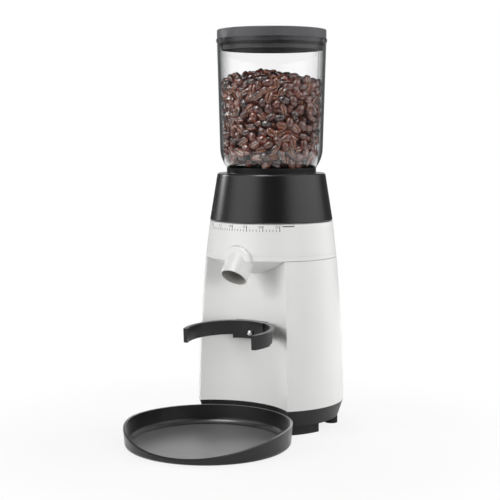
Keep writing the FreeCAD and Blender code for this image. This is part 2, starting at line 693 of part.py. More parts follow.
def make_grind_chamber():
    """Cup on three legs with the collar's neck above and the chute's port in front."""
    pieces = [cylinder(NECK_OUTER, CHAMBER_BOTTOM, NECK_TOP),
              cylinder(HUB_RADIUS, PLATE_TOP, CHAMBER_FLOOR_TOP)]
    for foot in leg_points(PLATE_TOP):
        pieces.append(cylinder(LEG_RADIUS, PLATE_TOP, CHAMBER_FLOOR_TOP, foot.x, foot.y))
    port_end = CHUTE_LENGTH + PORT_LENGTH
    port_top = HEAD_TOP - WALL - FIT
    port = [on_chute(cylinder(PORT_RADIUS, CHUTE_LENGTH, port_end))]
    for side in (-1, 1):
        port.append(on_chute(cylinder(CHUTE_EAR_RADIUS, CHUTE_LENGTH, port_end, side * CHUTE_EAR)))
    pieces.append(joined(port).common(cylinder(HEAD_TOP_RADIUS, PLATE_BOTTOM, port_top)))
    chamber = joined(pieces)
    chamber = chamber.cut(cylinder(CHAMBER_BORE, CHAMBER_FLOOR_TOP, NECK_TOP))
    chamber = chamber.cut(cylinder(NECK_BORE, SHELF_TOP, NECK_TOP))
    chamber = chamber.cut(cylinder(BUSH_RADIUS + SNUG, PLATE_TOP, CHAMBER_FLOOR_TOP))
    bore = on_chute(cylinder(CHUTE_BORE, CHUTE_LENGTH - EDGE, port_end + CHUTE_BORE))
    chamber = chamber.cut(bore.common(cylinder(HEAD_TOP_RADIUS, PLATE_BOTTOM, port_top - PORT_ROOF)))
    key_reach = NECK_BORE + CARRIER_KEY_REACH + FIT
    key_half = CARRIER_KEY_WIDTH / 2 + FIT
    chamber = chamber.cut(block((-key_reach, key_reach), (-key_half, key_half), (SHELF_TOP, NECK_TOP)))
    for foot in leg_points(PLATE_TOP):
        chamber = chamber.cut(screw_hole(foot, UP, CHAMBER_LEG))
    hole_end = CHUTE_LENGTH - CHUTE_FLANGE + CHUTE_SCREW_LENGTH + EDGE
    for side in (-1, 1):
        hole = cylinder(SCREW_RADIUS + SNUG, CHUTE_LENGTH, hole_end, side * CHUTE_EAR)
        chamber = chamber.cut(on_chute(hole))
    return chamber


def make_chamber_screws():
    """Screws from under the chassis plate into the chamber's legs."""
    length = PLATE_THICKNESS + CHAMBER_LEG - EDGE
    return Part.makeCompound([screw(seat, UP, length) for seat in leg_points(PLATE_BOTTOM)])


def make_upper_bush():
    """Bush of the drive shaft in the chamber's hub."""
    return tube(BUSH_RADIUS, SHAFT_RADIUS + SNUG, PLATE_TOP, CHAMBER_FLOOR_TOP - SEAL_THICKNESS)


def make_shaft_seal():
    """Seal that keeps grounds out of the upper bush."""
    return tube(BUSH_RADIUS, SHAFT_RADIUS + SNUG, CHAMBER_FLOOR_TOP - SEAL_THICKNESS, CHAMBER_FLOOR_TOP)


def make_impeller():
    """Disc with upright blades that sweeps the grounds into the port."""
    pieces = [cylinder(IMPELLER_RADIUS, IMPELLER_BOTTOM, IMPELLER_BOTTOM + IMPELLER_DISC),
              cylinder(IMPELLER_HUB, IMPELLER_BOTTOM, CONE_BOTTOM)]
    half = BLADE_THICKNESS / 2
    for index in range(IMPELLER_BLADES):
        blade = block((IMPELLER_HUB - EDGE, IMPELLER_RADIUS - EDGE), (-half, half),
                      (IMPELLER_BOTTOM, SHELF_TOP - EDGE))
        blade.rotate(V(0, 0, 0), UP, 360 * index / IMPELLER_BLADES)
        pieces.append(blade)
    return joined(pieces).cut(cylinder(SHAFT_RADIUS + SNUG, IMPELLER_BOTTOM, CONE_BOTTOM))


def cone_burr_radius(height):
    """Radius of the cone burr's tooth tips at a height."""
    share = (height - CONE_BOTTOM) / CONE_BURR_HEIGHT
    return CONE_BURR_RADIUS + (CONE_BURR_TOP_RADIUS - CONE_BURR_RADIUS) * share


def make_cone_burr():
    """Toothed steel cone on the drive shaft."""
    low = star(CONE_BURR_TEETH, CONE_BURR_RADIUS, CONE_BURR_RADIUS - BURR_TOOTH_DEPTH, CONE_BOTTOM, 0)
    high = star(CONE_BURR_TEETH, CONE_BURR_TOP_RADIUS, CONE_BURR_TOP_RADIUS - BURR_TOOTH_DEPTH, CONE_TOP,
                BURR_TWIST)
    return Part.makeLoft([low, high], True, True).cut(cylinder(SHAFT_RADIUS + SNUG, CONE_BOTTOM, CONE_TOP))


def make_ring_burr():
    """Toothed steel ring round the cone burr."""
    top = RING_BOTTOM + RING_BURR_HEIGHT
    tight = cone_burr_radius(RING_BOTTOM) + BURR_GAP
    low = star(RING_BURR_TEETH, tight + BURR_TOOTH_DEPTH, tight, RING_BOTTOM, 0)
    high = star(RING_BURR_TEETH, RING_BURR_FLARE, RING_BURR_FLARE - BURR_TOOTH_DEPTH, top, -BURR_TWIST / 2)
    return cylinder(RING_BURR_RADIUS, RING_BOTTOM, top).cut(Part.makeLoft([low, high], True, True))


def make_burr_carrier():
    """Sleeve that holds the ring burr and slides in the chamber's neck on two keys."""
    flange = NECK_BORE - SLIDING
    seat = RING_BURR_RADIUS + SNUG
    key_reach = NECK_BORE + CARRIER_KEY_REACH
    keys = block((-key_reach, key_reach), (-CARRIER_KEY_WIDTH / 2, CARRIER_KEY_WIDTH / 2),
                 (FLANGE_BOTTOM, CARRIER_TOP))
    carrier = joined([cylinder(CARRIER_OUTER, CARRIER_BOTTOM, CARRIER_TOP),
                      cylinder(flange, FLANGE_BOTTOM, CARRIER_TOP), keys])
    carrier = carrier.cut(cylinder(CARRIER_LIP_RADIUS, CARRIER_BOTTOM, CARRIER_TOP))
    return carrier.cut(cylinder(seat, RING_BOTTOM, CARRIER_TOP))


def make_carrier_spring():
    """Corrugated ring spring under the carrier's flange that lifts it against the collar."""
    inner = CARRIER_OUTER + SPRING_CLEARANCE
    outer = NECK_BORE - SPRING_CLEARANCE - SPRING_WALL
    step = (FLANGE_BOTTOM - SHELF_TOP) / (2 * SPRING_FOLDS)
    folds = [(outer if i % 2 else inner, SHELF_TOP + i * step, 0) for i in range(2 * SPRING_FOLDS + 1)]
    back = [(radius + SPRING_WALL, height, 0) for radius, height, _ in reversed(folds)]
    return spun(folds + back)


def make_burr_nut():
    """Hexagon nut on top of the cone burr."""
    corner = NUT_WIDTH / 2 / math.cos(math.pi / NUT_SIDES)
    points = [around(corner, 360 * i / NUT_SIDES, CONE_TOP) for i in range(NUT_SIDES + 1)]
    nut = Part.Face(Part.makePolygon(points)).extrude(V(0, 0, NUT_HEIGHT))
    return nut.cut(cylinder(SHAFT_RADIUS + SNUG, CONE_TOP, CONE_TOP + NUT_HEIGHT))


def make_drive_shaft():
    """Vertical shaft from the output gear to the cone burr."""
    return cylinder(SHAFT_RADIUS, SHAFT_BOTTOM, CONE_TOP + NUT_HEIGHT + EDGE)


def make_chassis_plate():
    """Steel plate inside the head that carries the chamber above and the gear case below."""
    radius = head_radius(PLATE_TOP) - WALL - FIT
    plate = cylinder(radius, PLATE_BOTTOM, PLATE_TOP)
    plate = plate.cut(on_chute(cylinder(PORT_RADIUS + EDGE, -CHUTE_LENGTH, CHUTE_LENGTH + PORT_LENGTH)))
    plate = plate.cut(cylinder(BUSH_RADIUS, PLATE_BOTTOM, PLATE_TOP))
    for seat in leg_points(PLATE_BOTTOM) + post_points(PLATE_BOTTOM) + case_screw_points(PLATE_BOTTOM):
        plate = plate.cut(screw_hole(seat, UP, PLATE_THICKNESS))
    return plate


def post_points(height):
    """Middles of the four chassis posts."""
    return [around(POST_CIRCLE, angle, height) for angle in POST_ANGLES]


def make_chassis_posts():
    """Four posts between the base pan and the chassis plate."""
    low = BASE_BOTTOM + BASE_FLOOR
    posts = []
    for spot in post_points(low):
        posts.append(tube(POST_RADIUS, SCREW_RADIUS + SNUG, low, PLATE_BOTTOM, spot.x, spot.y))
    return Part.makeCompound(posts)


def make_chassis_screws():
    """Screws through the chassis plate into its posts."""
    return Part.makeCompound([screw(seat, -UP, POST_SCREW_LENGTH) for seat in post_points(PLATE_TOP)])


def make_base_screws():
    """Screws from under the base pan into the posts."""
    return Part.makeCompound([screw(seat, UP, POST_SCREW_LENGTH) for seat in post_points(BASE_BOTTOM)])


def case_solid(extra, low, high):
    """Outline of the gear case round its three gears, grown by extra."""
    return joined([cylinder(OUTPUT_TIP + GEAR_SPACE + extra, low, high),
                   cylinder(IDLER_TIP + GEAR_SPACE + extra, low, high, IDLER_X, IDLER_Y),
                   cylinder(MOTOR_CASE_RADIUS + extra, low, high, 0, MOTOR_DISTANCE)])


def case_screw_points(height):
    """Screw places round the case: left of the output gear, behind the motor, beside the idler."""
    outside = CASE_WALL + SCREW_HEAD_RADIUS
    left = V(-OUTPUT_TIP - GEAR_SPACE - outside, 0, height)
    rear = V(0, MOTOR_DISTANCE + MOTOR_CASE_RADIUS + outside, height)
    aside = around(IDLER_TIP + GEAR_SPACE + outside, CASE_EAR_ANGLE, height)
    return [left, rear, aside + V(IDLER_X, IDLER_Y, 0)]


def case_ears(low, high):
    """Screw ears of the gear case and its cover."""
    return [cylinder(SCREW_HEAD_RADIUS + EDGE, low, high, p.x, p.y) for p in case_screw_points(low)]


def make_gear_case():
    """Open cup round the gears, hung under the chassis plate."""
    ears = case_ears(COVER_BOTTOM - CASE_COVER, COVER_BOTTOM)
    cup = joined([case_solid(CASE_WALL, CASE_BOTTOM, COVER_BOTTOM)] + ears)
    cup = cup.cut(case_solid(0, CASE_FLOOR_TOP, COVER_BOTTOM))
    boss_top = CASE_BOTTOM + BUSH_LENGTH
    cup = joined([cup, cylinder(BUSH_RADIUS + CASE_WALL / 2, CASE_BOTTOM, boss_top)])
    cup = cup.cut(cylinder(BUSH_RADIUS + SNUG, CASE_BOTTOM, boss_top))
    cup = cup.cut(cylinder(MOTOR_SHAFT_RADIUS + EDGE, CASE_BOTTOM, CASE_FLOOR_TOP, 0, MOTOR_DISTANCE))
    cup = cup.cut(cylinder(IDLER_PIN_RADIUS + SNUG, CASE_BOTTOM, CASE_FLOOR_TOP, IDLER_X, IDLER_Y))
    for seat in case_screw_points(CASE_BOTTOM):
        cup = cup.cut(screw_hole(seat, UP, CASE_HEIGHT))
    for seat in motor_screw_points(motor_screw_seat()):
        cup = cup.cut(screw_hole(seat, -UP, CASE_FLOOR))
        cup = cup.cut(rod(SCREW_HEAD_RADIUS + SNUG, seat, seat + UP * SCREW_HEAD_HEIGHT))
    return cup


def make_gear_cover():
    """Lid of the gear case, against the chassis plate."""
    cover = joined([case_solid(CASE_WALL, COVER_BOTTOM, COVER_TOP)] + case_ears(COVER_BOTTOM, COVER_TOP))
    cover = cover.cut(cylinder(BUSH_RADIUS, COVER_BOTTOM, COVER_TOP))
    cover = cover.cut(cylinder(IDLER_PIN_RADIUS + SNUG, COVER_BOTTOM, COVER_TOP, IDLER_X, IDLER_Y))
    for seat in case_screw_points(COVER_BOTTOM):
        cover = cover.cut(screw_hole(seat, UP, CASE_COVER))
    for foot in leg_points(COVER_BOTTOM):
        cover = cover.cut(cylinder(SCREW_HEAD_RADIUS + EDGE, COVER_BOTTOM, COVER_TOP, foot.x, foot.y))
    return cover


def make_case_screws():
    """Screws through the case's ears and its cover into the chassis plate."""
    length = CASE_COVER * 2 + PLATE_THICKNESS
    seats = case_screw_points(COVER_BOTTOM - CASE_COVER)
    return Part.makeCompound([screw(seat, UP, length) for seat in seats])


def make_lower_bush():
    """Bush of the drive shaft in the gear case's floor."""
    return tube(BUSH_RADIUS, SHAFT_RADIUS + SNUG, CASE_BOTTOM, CASE_BOTTOM + BUSH_LENGTH)


def make_output_gear():
    """Large gear on the drive shaft, with its hub down to the lower bush."""
    wheel = gear(OUTPUT_TEETH, SECOND_MODULE, SECOND_BOTTOM, SECOND_TOP, 0)
    wheel.rotate(V(0, 0, 0), UP, math.degrees(math.atan2(IDLER_Y, IDLER_X)))
    hub_bottom = CASE_BOTTOM + BUSH_LENGTH + FIT
    hub = cylinder(BUSH_RADIUS, hub_bottom, SECOND_TOP + GEAR_SPACE)
    return joined([wheel, hub]).cut(cylinder(SHAFT_RADIUS + SNUG, hub_bottom, SECOND_TOP + GEAR_SPACE))


def make_idler_gear():
    """Double gear on its pin: the big wheel below, the small pinion above."""
    to_output = math.atan2(-IDLER_Y, -IDLER_X)
    to_motor = math.atan2(MOTOR_DISTANCE - IDLER_Y, -IDLER_X)
    half_step = math.pi / IDLER_SMALL_TEETH
    small = gear(IDLER_SMALL_TEETH, SECOND_MODULE, FIRST_TOP, SECOND_TOP, to_output + half_step)
    big = gear(IDLER_BIG_TEETH, FIRST_MODULE, FIRST_BOTTOM, FIRST_TOP, to_motor)
    wheel = joined([small, big]).cut(cylinder(IDLER_PIN_RADIUS + SNUG, FIRST_BOTTOM, SECOND_TOP))
    wheel.translate(V(IDLER_X, IDLER_Y, 0))
    return wheel


def make_idler_pin():
    """Fixed pin of the idler gear, held in the case's floor and cover."""
    return cylinder(IDLER_PIN_RADIUS, CASE_BOTTOM, COVER_TOP, IDLER_X, IDLER_Y)


def make_motor_pinion():
    """Small gear on the motor's shaft."""
    to_idler = math.atan2(IDLER_Y - MOTOR_DISTANCE, IDLER_X)
    wheel = gear(MOTOR_TEETH, FIRST_MODULE, FIRST_BOTTOM, FIRST_TOP, to_idler + math.pi / MOTOR_TEETH)
    wheel = wheel.cut(cylinder(MOTOR_SHAFT_RADIUS + SNUG, FIRST_BOTTOM, FIRST_TOP))
    wheel.translate(V(0, MOTOR_DISTANCE, 0))
    return wheel


def motor_screw_points(height):
    """Two screw places on the motor's end cap, left and right of its shaft."""
    return [V(side * MOTOR_SCREW_CIRCLE, MOTOR_DISTANCE, height) for side in (-1, 1)]


def motor_screw_seat():
    """Level under the sunk heads of the motor's screws."""
    return CASE_FLOOR_TOP - SCREW_HEAD_HEIGHT


def make_motor_can():
    """Steel can of the motor, closed below with a bearing hole."""
    top = MOTOR_TOP - MOTOR_CAP
    can = cylinder(MOTOR_RADIUS, MOTOR_BOTTOM, top, 0, MOTOR_DISTANCE)
    can = can.cut(cylinder(MOTOR_RADIUS - MOTOR_WALL, MOTOR_BOTTOM + MOTOR_WALL, top, 0, MOTOR_DISTANCE))
    return can.cut(cylinder(MOTOR_SHAFT_RADIUS + SNUG, MOTOR_BOTTOM, top, 0, MOTOR_DISTANCE))


def make_motor_end_cap():
    """End plate of the motor, against the gear case."""
    low = MOTOR_TOP - MOTOR_CAP
    cap = tube(MOTOR_RADIUS, MOTOR_SHAFT_RADIUS + SNUG, low, MOTOR_TOP, 0, MOTOR_DISTANCE)
    for seat in motor_screw_points(low):
        cap = cap.cut(screw_hole(seat, UP, MOTOR_CAP))
    return cap


def make_motor_screws():
    """Screws from inside the gear case into the motor's end cap."""
    seats = motor_screw_points(motor_screw_seat())
    return Part.makeCompound([screw(seat, -UP, MOTOR_CAP) for seat in seats])


def make_motor_magnets():
    """Two curved magnets inside the can."""
    outer = MOTOR_RADIUS - MOTOR_WALL - SNUG
    low = magnet_bottom()
    ring = tube(outer, outer - MAGNET_THICKNESS, low, low + MAGNET_LENGTH, 0, MOTOR_DISTANCE)
    gap = block((-MOTOR_RADIUS, MOTOR_RADIUS),
                (MOTOR_DISTANCE - MAGNET_THICKNESS, MOTOR_DISTANCE + MAGNET_THICKNESS),
                (low, low + MAGNET_LENGTH))
    return ring.cut(gap)


def magnet_bottom():
    """Level of the magnets and of the armature."""
    return MOTOR_BOTTOM + MOTOR_WALL + MAGNET_LIFT


def make_motor_armature():
    """Slotted armature and commutator on the motor's shaft."""
    low = magnet_bottom()
    core = cylinder(ARMATURE_RADIUS, low, low + MAGNET_LENGTH)
    for index in range(ARMATURE_SLOTS):
        slot = block((ARMATURE_RADIUS - MAGNET_THICKNESS, ARMATURE_RADIUS + EDGE),
                     (-ARMATURE_SLOT_WIDTH / 2, ARMATURE_SLOT_WIDTH / 2), (low, low + MAGNET_LENGTH))
        slot.rotate(V(0, 0, 0), UP, 360 * index / ARMATURE_SLOTS)
        core = core.cut(slot)
    top = low + MAGNET_LENGTH + COMMUTATOR_LENGTH
    armature = joined([core, cylinder(COMMUTATOR_RADIUS, low, top)])
    armature = armature.cut(cylinder(MOTOR_SHAFT_RADIUS + SNUG, low, top))
    armature.translate(V(0, MOTOR_DISTANCE, 0))
    return armature


def make_motor_brushes():
    """Two carbon brushes that reach from the can to the commutator."""
    low = magnet_bottom() + MAGNET_LENGTH + (COMMUTATOR_LENGTH - BRUSH_SIZE) / 2
    half = BRUSH_SIZE / 2
    outer = math.sqrt((MOTOR_RADIUS - MOTOR_WALL - SNUG) ** 2 - half ** 2)
    brushes = []
    for side in (-1, 1):
        ends = sorted((side * (COMMUTATOR_RADIUS + FIT), side * outer))
        brushes.append(block(ends, (MOTOR_DISTANCE - half, MOTOR_DISTANCE + half), (low, low + BRUSH_SIZE)))
    return Part.makeCompound(brushes)


def make_motor_shaft():
    """Motor's shaft, from its lower bearing to its pinion."""
    return cylinder(MOTOR_SHAFT_RADIUS, MOTOR_BOTTOM - EDGE, FIRST_TOP, 0, MOTOR_DISTANCE)


def make_front_panel():
    """Concave white wall of the recess."""
    panel = recess(RECESS_RADIUS + WALL).cut(recess(RECESS_RADIUS)).common(body_solid(0))
    panel = panel.cut(level_rod(BUTTON_RADIUS + BEZEL_WALL + FIT, -CRADLE_CENTRE, 0, BUTTON_LEVEL))
    for seat in cradle_screw_points():
        panel = panel.cut(screw_hole(seat, -BACKWARD, CRADLE_CENTRE))
    return panel


def make_rear_shell():
    """White wrap of the lower body with rear vents and the switch's window."""
    shell = body_solid(0).cut(body_solid(WALL)).cut(recess(RECESS_RADIUS + WALL + SNUG))
    for index in range(VENT_COUNT):
        low = VENT_LOW + index * VENT_PITCH
        shell = shell.cut(block((-VENT_WIDTH / 2, VENT_WIDTH / 2), (0, BODY_REACH),
                                (low, low + VENT_HEIGHT)))
    half_width = SWITCH_WIDTH / 2 + SWITCH_RIM + FIT
    half_height = SWITCH_HEIGHT / 2 + SWITCH_RIM + FIT
    return shell.cut(block((-half_width, half_width), (0, BODY_REACH),
                           (ROCKER_HEIGHT - half_height, ROCKER_HEIGHT + half_height)))


def base_outside(inset, low):
    """Tapered outside of the base above a level, drawn in by inset."""
    return spun([(0, low, 0), (base_radius(low) - inset, low, 0),
                 (BODY_BOTTOM_RADIUS - inset, BODY_BOTTOM, 0), (0, BODY_BOTTOM, 0)])


def tray_bay(radius):
    """Upright cylinder about the tray's middle."""
    return cylinder(radius, 0, HEAD_TOP, 0, -TRAY_CENTRE)


def make_base_pan():
    """Black pan under the body, hollowed at the front for the tray."""
    bay = TRAY_RADIUS + TRAY_GAP
    floor_top = BASE_BOTTOM + BASE_FLOOR
    pan = base_outside(0, BASE_BOTTOM).cut(tray_bay(bay))
    pan = pan.cut(base_outside(WALL, floor_top).cut(tray_bay(bay + BASE_FRONT_WALL)))
    standoffs = []
    for spot in board_screw_points(BASE_BOTTOM):
        standoffs.append(cylinder(STANDOFF_RADIUS, BASE_BOTTOM, BOARD_BOTTOM, spot.x, spot.y))
    pan = joined([pan] + standoffs)
    for seat in post_points(BASE_BOTTOM):
        pan = pan.cut(screw_hole(seat, UP, BASE_FLOOR))
    for seat in board_screw_points(BOARD_BOTTOM):
        pan = pan.cut(screw_hole(seat, -UP, BOARD_LIFT))
    return pan.cut(level_rod(GLAND_RADIUS + SNUG, 0, BODY_REACH, GLAND_HEIGHT))


def make_cord_gland():
    """Gland of the mains lead in the base's rear wall."""
    wall_outside = base_radius(GLAND_HEIGHT)
    wall_inside = base_radius(GLAND_HEIGHT - GLAND_FLANGE_RADIUS) - WALL
    flange_back = math.sqrt(wall_inside ** 2 - GLAND_FLANGE_RADIUS ** 2) - SNUG
    gland = joined([level_rod(GLAND_RADIUS, flange_back - GLAND_FLANGE, wall_outside + EDGE, GLAND_HEIGHT),
                    level_rod(GLAND_FLANGE_RADIUS, flange_back - GLAND_FLANGE, flange_back, GLAND_HEIGHT)])
    return gland.cut(level_rod(GLAND_BORE, 0, BODY_REACH, GLAND_HEIGHT))


def make_feet():
    """Two arc-shaped rubber feet at the front and two round ones at the back."""
    outer = BASE_RADIUS - FRONT_FOOT_INSET
    feet = []
    start, end = FRONT_FOOT_ANGLES
    for angle in (start, -end):
        section = Part.Face(Part.makePolygon([V(0, -outer, 0), V(0, FRONT_FOOT_WIDTH - outer, 0),
                                              V(0, FRONT_FOOT_WIDTH - outer, FOOT_HEIGHT),
                                              V(0, -outer, FOOT_HEIGHT), V(0, -outer, 0)]))
        section.rotate(V(0, 0, 0), UP, angle)
        feet.append(section.revolve(V(0, 0, 0), UP, end - start))
    for angle in (-REAR_FOOT_ANGLE, REAR_FOOT_ANGLE):
        spot = around(BASE_RADIUS - REAR_FOOT_INSET - REAR_FOOT_RADIUS, angle)
        feet.append(cylinder(REAR_FOOT_RADIUS, 0, FOOT_HEIGHT, spot.x, spot.y))
    return Part.makeCompound(feet)


def make_tray():
    """Round dish whose rim sweeps down towards the front."""
    dish = spun([(0, 0, 0), (TRAY_BOTTOM_RADIUS, 0, TRAY_ROUNDING), (TRAY_RADIUS, TRAY_BACK_RIM, 0),
                 (TRAY_RADIUS - TRAY_WALL, TRAY_BACK_RIM, 0),
                 (TRAY_BOTTOM_RADIUS - TRAY_WALL, TRAY_FLOOR, TRAY_COVE), (0, TRAY_FLOOR, 0)])
    reach = BODY_REACH
    above = cylinder(TRAY_ARC, -reach, reach)
    above.rotate(V(0, 0, 0), BACKWARD, 90)
    above.translate(V(0, -TRAY_SWEEP_START, TRAY_BACK_RIM - TRAY_ARC))
    ahead = block((-reach, reach), (-reach, -TRAY_SWEEP_START), (0, TRAY_BACK_RIM))
    dish = dish.cut(ahead.cut(above))
    dish.rotate(V(0, 0, 0), UP, TRAY_TURN)
    dish.translate(V(0, -TRAY_CENTRE, 0))
    return dish


def cradle_screw_points():
    """Seats of the cradle's two screws on the inside of the front panel."""
    inside = RECESS_RADIUS + WALL
    depth = RECESS_CENTRE - math.sqrt(inside ** 2 - CRADLE_SCREW_SPREAD ** 2)
    level = CRADLE_BOTTOM + CRADLE_HEIGHT / 2
    return [V(side * CRADLE_SCREW_SPREAD, SCREW_RADIUS - depth, level) for side in (-1, 1)]


def make_cradle():
    """Fork that holds a filter holder, with a lip behind and its mounting block against the panel."""
    inner = CRADLE_RADIUS - CRADLE_WALL
    ring = spun([(inner, CRADLE_BOTTOM, EDGE / 2), (CRADLE_RADIUS, CRADLE_BOTTOM, EDGE / 2),
                 (CRADLE_RADIUS, CRADLE_TOP, EDGE / 2), (inner, CRADLE_TOP, EDGE / 2)])
    step = tube(CRADLE_RADIUS + EDGE, CRADLE_RADIUS - CRADLE_STEP, CRADLE_BOTTOM, CRADLE_TOP - CRADLE_LIP)
    behind = block((-BODY_REACH, BODY_REACH), (CRADLE_STEP_START, BODY_REACH), (0, CRADLE_TOP))
    ring = ring.cut(step.common(behind))
    block_half = CRADLE_BLOCK_WIDTH / 2
    block_bottom = CRADLE_BOTTOM - CRADLE_BLOCK_DROP
    room = cylinder(inner - CRADLE_BLOCK_PROUD, block_bottom, CRADLE_TOP)
    mount = block((-block_half, block_half), (inner - CRADLE_WALL * 2, CRADLE_RADIUS + CRADLE_WALL),
                  (block_bottom, CRADLE_TOP)).cut(room)
    ahead = block((-BODY_REACH, BODY_REACH), (-BODY_REACH, -CRADLE_TIP), (0, CRADLE_TOP))
    fork = joined([ring, mount]).cut(ahead)
    fork.rotate(V(0, -CRADLE_TIP, CRADLE_TOP), V(1, 0, 0), CRADLE_LEAN)
    fork.translate(V(0, -CRADLE_CENTRE, 0))
    fork = fork.common(recess(RECESS_RADIUS - SNUG))
    fork = fork.cut(level_rod(BUTTON_RADIUS + BEZEL_WALL + SNUG, -CRADLE_CENTRE, 0, BUTTON_LEVEL))
    for seat in cradle_screw_points():
        fork = fork.cut(screw_hole(seat, -BACKWARD, CRADLE_WALL + WALL))
    return fork


def make_cradle_screws():
    """Screws from inside the body through the panel into the cradle."""
    length = CRADLE_WALL + WALL - EDGE
    return Part.makeCompound([screw(seat, -BACKWARD, length) for seat in cradle_screw_points()])


def make_button_bezel():
    """Ring that guides the start button through the panel and the cradle."""
    outer = BUTTON_RADIUS + BEZEL_WALL
    front = -CRADLE_INSIDE - BEZEL_STICKOUT
    flange_front = SNUG - PANEL_BACK
    bezel = joined([level_rod(outer, front, flange_front + BEZEL_FLANGE, BUTTON_LEVEL),
                    level_rod(outer + BEZEL_WALL, flange_front, flange_front + BEZEL_FLANGE, BUTTON_LEVEL)])
    bezel = bezel.cut(level_rod(BUTTON_RADIUS + SLIDING, front, 0, BUTTON_LEVEL))
    return bezel.makeFillet(BEZEL_ROUNDING, [e for e in bezel.Edges if e.BoundBox.YMax < front + SNUG])


def shoulder_front():
    """Front of the button's shoulder, behind the bezel."""
    return SNUG - PANEL_BACK + BEZEL_FLANGE


def bracket_front():
    """Front of the switch bracket, where the button's spring ends."""
    return shoulder_front() + BEZEL_FLANGE + BUTTON_SPRING_LENGTH


def make_start_button():
    """Plunger that the filter holder pushes in."""
    tip = -CRADLE_INSIDE - BUTTON_STICKOUT
    front = shoulder_front()
    stem_end = bracket_front() + BRACKET_THICKNESS + FIT
    button = joined([level_rod(BUTTON_RADIUS, tip, front, BUTTON_LEVEL),
                     level_rod(BUTTON_SHOULDER, front, front + BEZEL_FLANGE, BUTTON_LEVEL),
                     level_rod(BUTTON_STEM_RADIUS, front, stem_end, BUTTON_LEVEL)])
    rim = [edge for edge in button.Edges if edge.BoundBox.YMax < tip + SNUG]
    return button.makeFillet(BUTTON_ROUNDING, rim)


def make_button_spring():
    """Spring between the button's shoulder and the switch bracket."""
    radius = BUTTON_STEM_RADIUS + BUTTON_SPRING_WIRE + FIT
    spring = coil(radius, BUTTON_SPRING_WIRE, BUTTON_SPRING_TURNS, BUTTON_SPRING_LENGTH)
    spring.rotate(V(0, 0, 0), V(1, 0, 0), -90)
    spring.translate(V(0, shoulder_front() + BEZEL_FLANGE, BUTTON_LEVEL))
    return spring


def make_switch_bracket():
    """Strap behind the panel that carries the microswitch, on two feet against the panel."""
    front = bracket_front()
    half = BRACKET_WIDTH / 2
    low = BUTTON_LEVEL - BRACKET_HEIGHT / 2
    levels = (low, low + BRACKET_HEIGHT)
    strap = block((-half, half), (front, front + BRACKET_THICKNESS), levels)
    pieces = [strap]
    for side in (-1, 1):
        ends = sorted((side * half, side * (half - BRACKET_THICKNESS)))
        pieces.append(block(ends, (-RECESS_CENTRE, front + BRACKET_THICKNESS), levels))
    bracket = joined(pieces).cut(recess(RECESS_RADIUS + WALL + SNUG))
    stem_hole = level_rod(BUTTON_STEM_RADIUS + FIT, front, front + BRACKET_THICKNESS, BUTTON_LEVEL)
    return bracket.cut(stem_hole)


def make_microswitch():
    """Snap switch behind the bracket, with a plunger facing the button's stem."""
    face = bracket_front() + BRACKET_THICKNESS
    room = BUTTON_TRAVEL + FIT * 2
    body = block((-MICROSWITCH_WIDTH / 2, MICROSWITCH_WIDTH / 2), (face, face + room + MICROSWITCH_DEPTH),
                 (BUTTON_LEVEL - MICROSWITCH_HEIGHT / 2, BUTTON_LEVEL + MICROSWITCH_HEIGHT / 2))
    return body.cut(level_rod(BUTTON_STEM_RADIUS + FIT, face, face + room, BUTTON_LEVEL))


def board_screw_points(height):
    """Screw places at the board's corners."""
    half_x = BOARD_WIDTH / 2 - BOARD_SCREW_INSET
    half_y = BOARD_DEPTH / 2 - BOARD_SCREW_INSET
    middle = BOARD_BACK + BOARD_DEPTH / 2
    return [V(x, middle + y, height) for x in (-half_x, half_x) for y in (-half_y, half_y)]


def make_control_board():
    """Circuit board over the base pan's floor."""
    board = block((-BOARD_WIDTH / 2, BOARD_WIDTH / 2), (BOARD_BACK, BOARD_BACK + BOARD_DEPTH),
                  (BOARD_BOTTOM, BOARD_TOP))
    for seat in board_screw_points(BOARD_BOTTOM):
        board = board.cut(screw_hole(seat, UP, BOARD_THICKNESS))
    return board


def on_board(size, x, y):
    """Block of a size standing on the board about a point."""
    width, depth, height = size
    return block((x - width / 2, x + width / 2), (y - depth / 2, y + depth / 2),
                 (BOARD_TOP, BOARD_TOP + height))


def make_board_components():
    """Transformer, capacitor, relay and terminal block on the board."""
    middle = BOARD_BACK + BOARD_DEPTH / 2
    transformer = on_board(TRANSFORMER_SIZE, TRANSFORMER_X, middle)
    capacitor = cylinder(CAPACITOR_RADIUS, BOARD_TOP, BOARD_TOP + CAPACITOR_HEIGHT, CAPACITOR_X, middle)
    relay = on_board(RELAY_SIZE, RELAY_X, middle - EDGE - RELAY_SIZE[1] / 2)
    terminals = on_board(TERMINAL_SIZE, RELAY_X, middle + EDGE + TERMINAL_SIZE[1] / 2)
    return Part.makeCompound([transformer, capacitor, relay, terminals])


def make_board_screws():
    """Screws of the board into the base pan's standoffs."""
    return Part.makeCompound([screw(seat, -UP, BOARD_LIFT) for seat in board_screw_points(BOARD_TOP)])


def switch_face():
    """Distance of the switch's rim from the axis."""
    return body_radius(ROCKER_HEIGHT) + SWITCH_STICKOUT


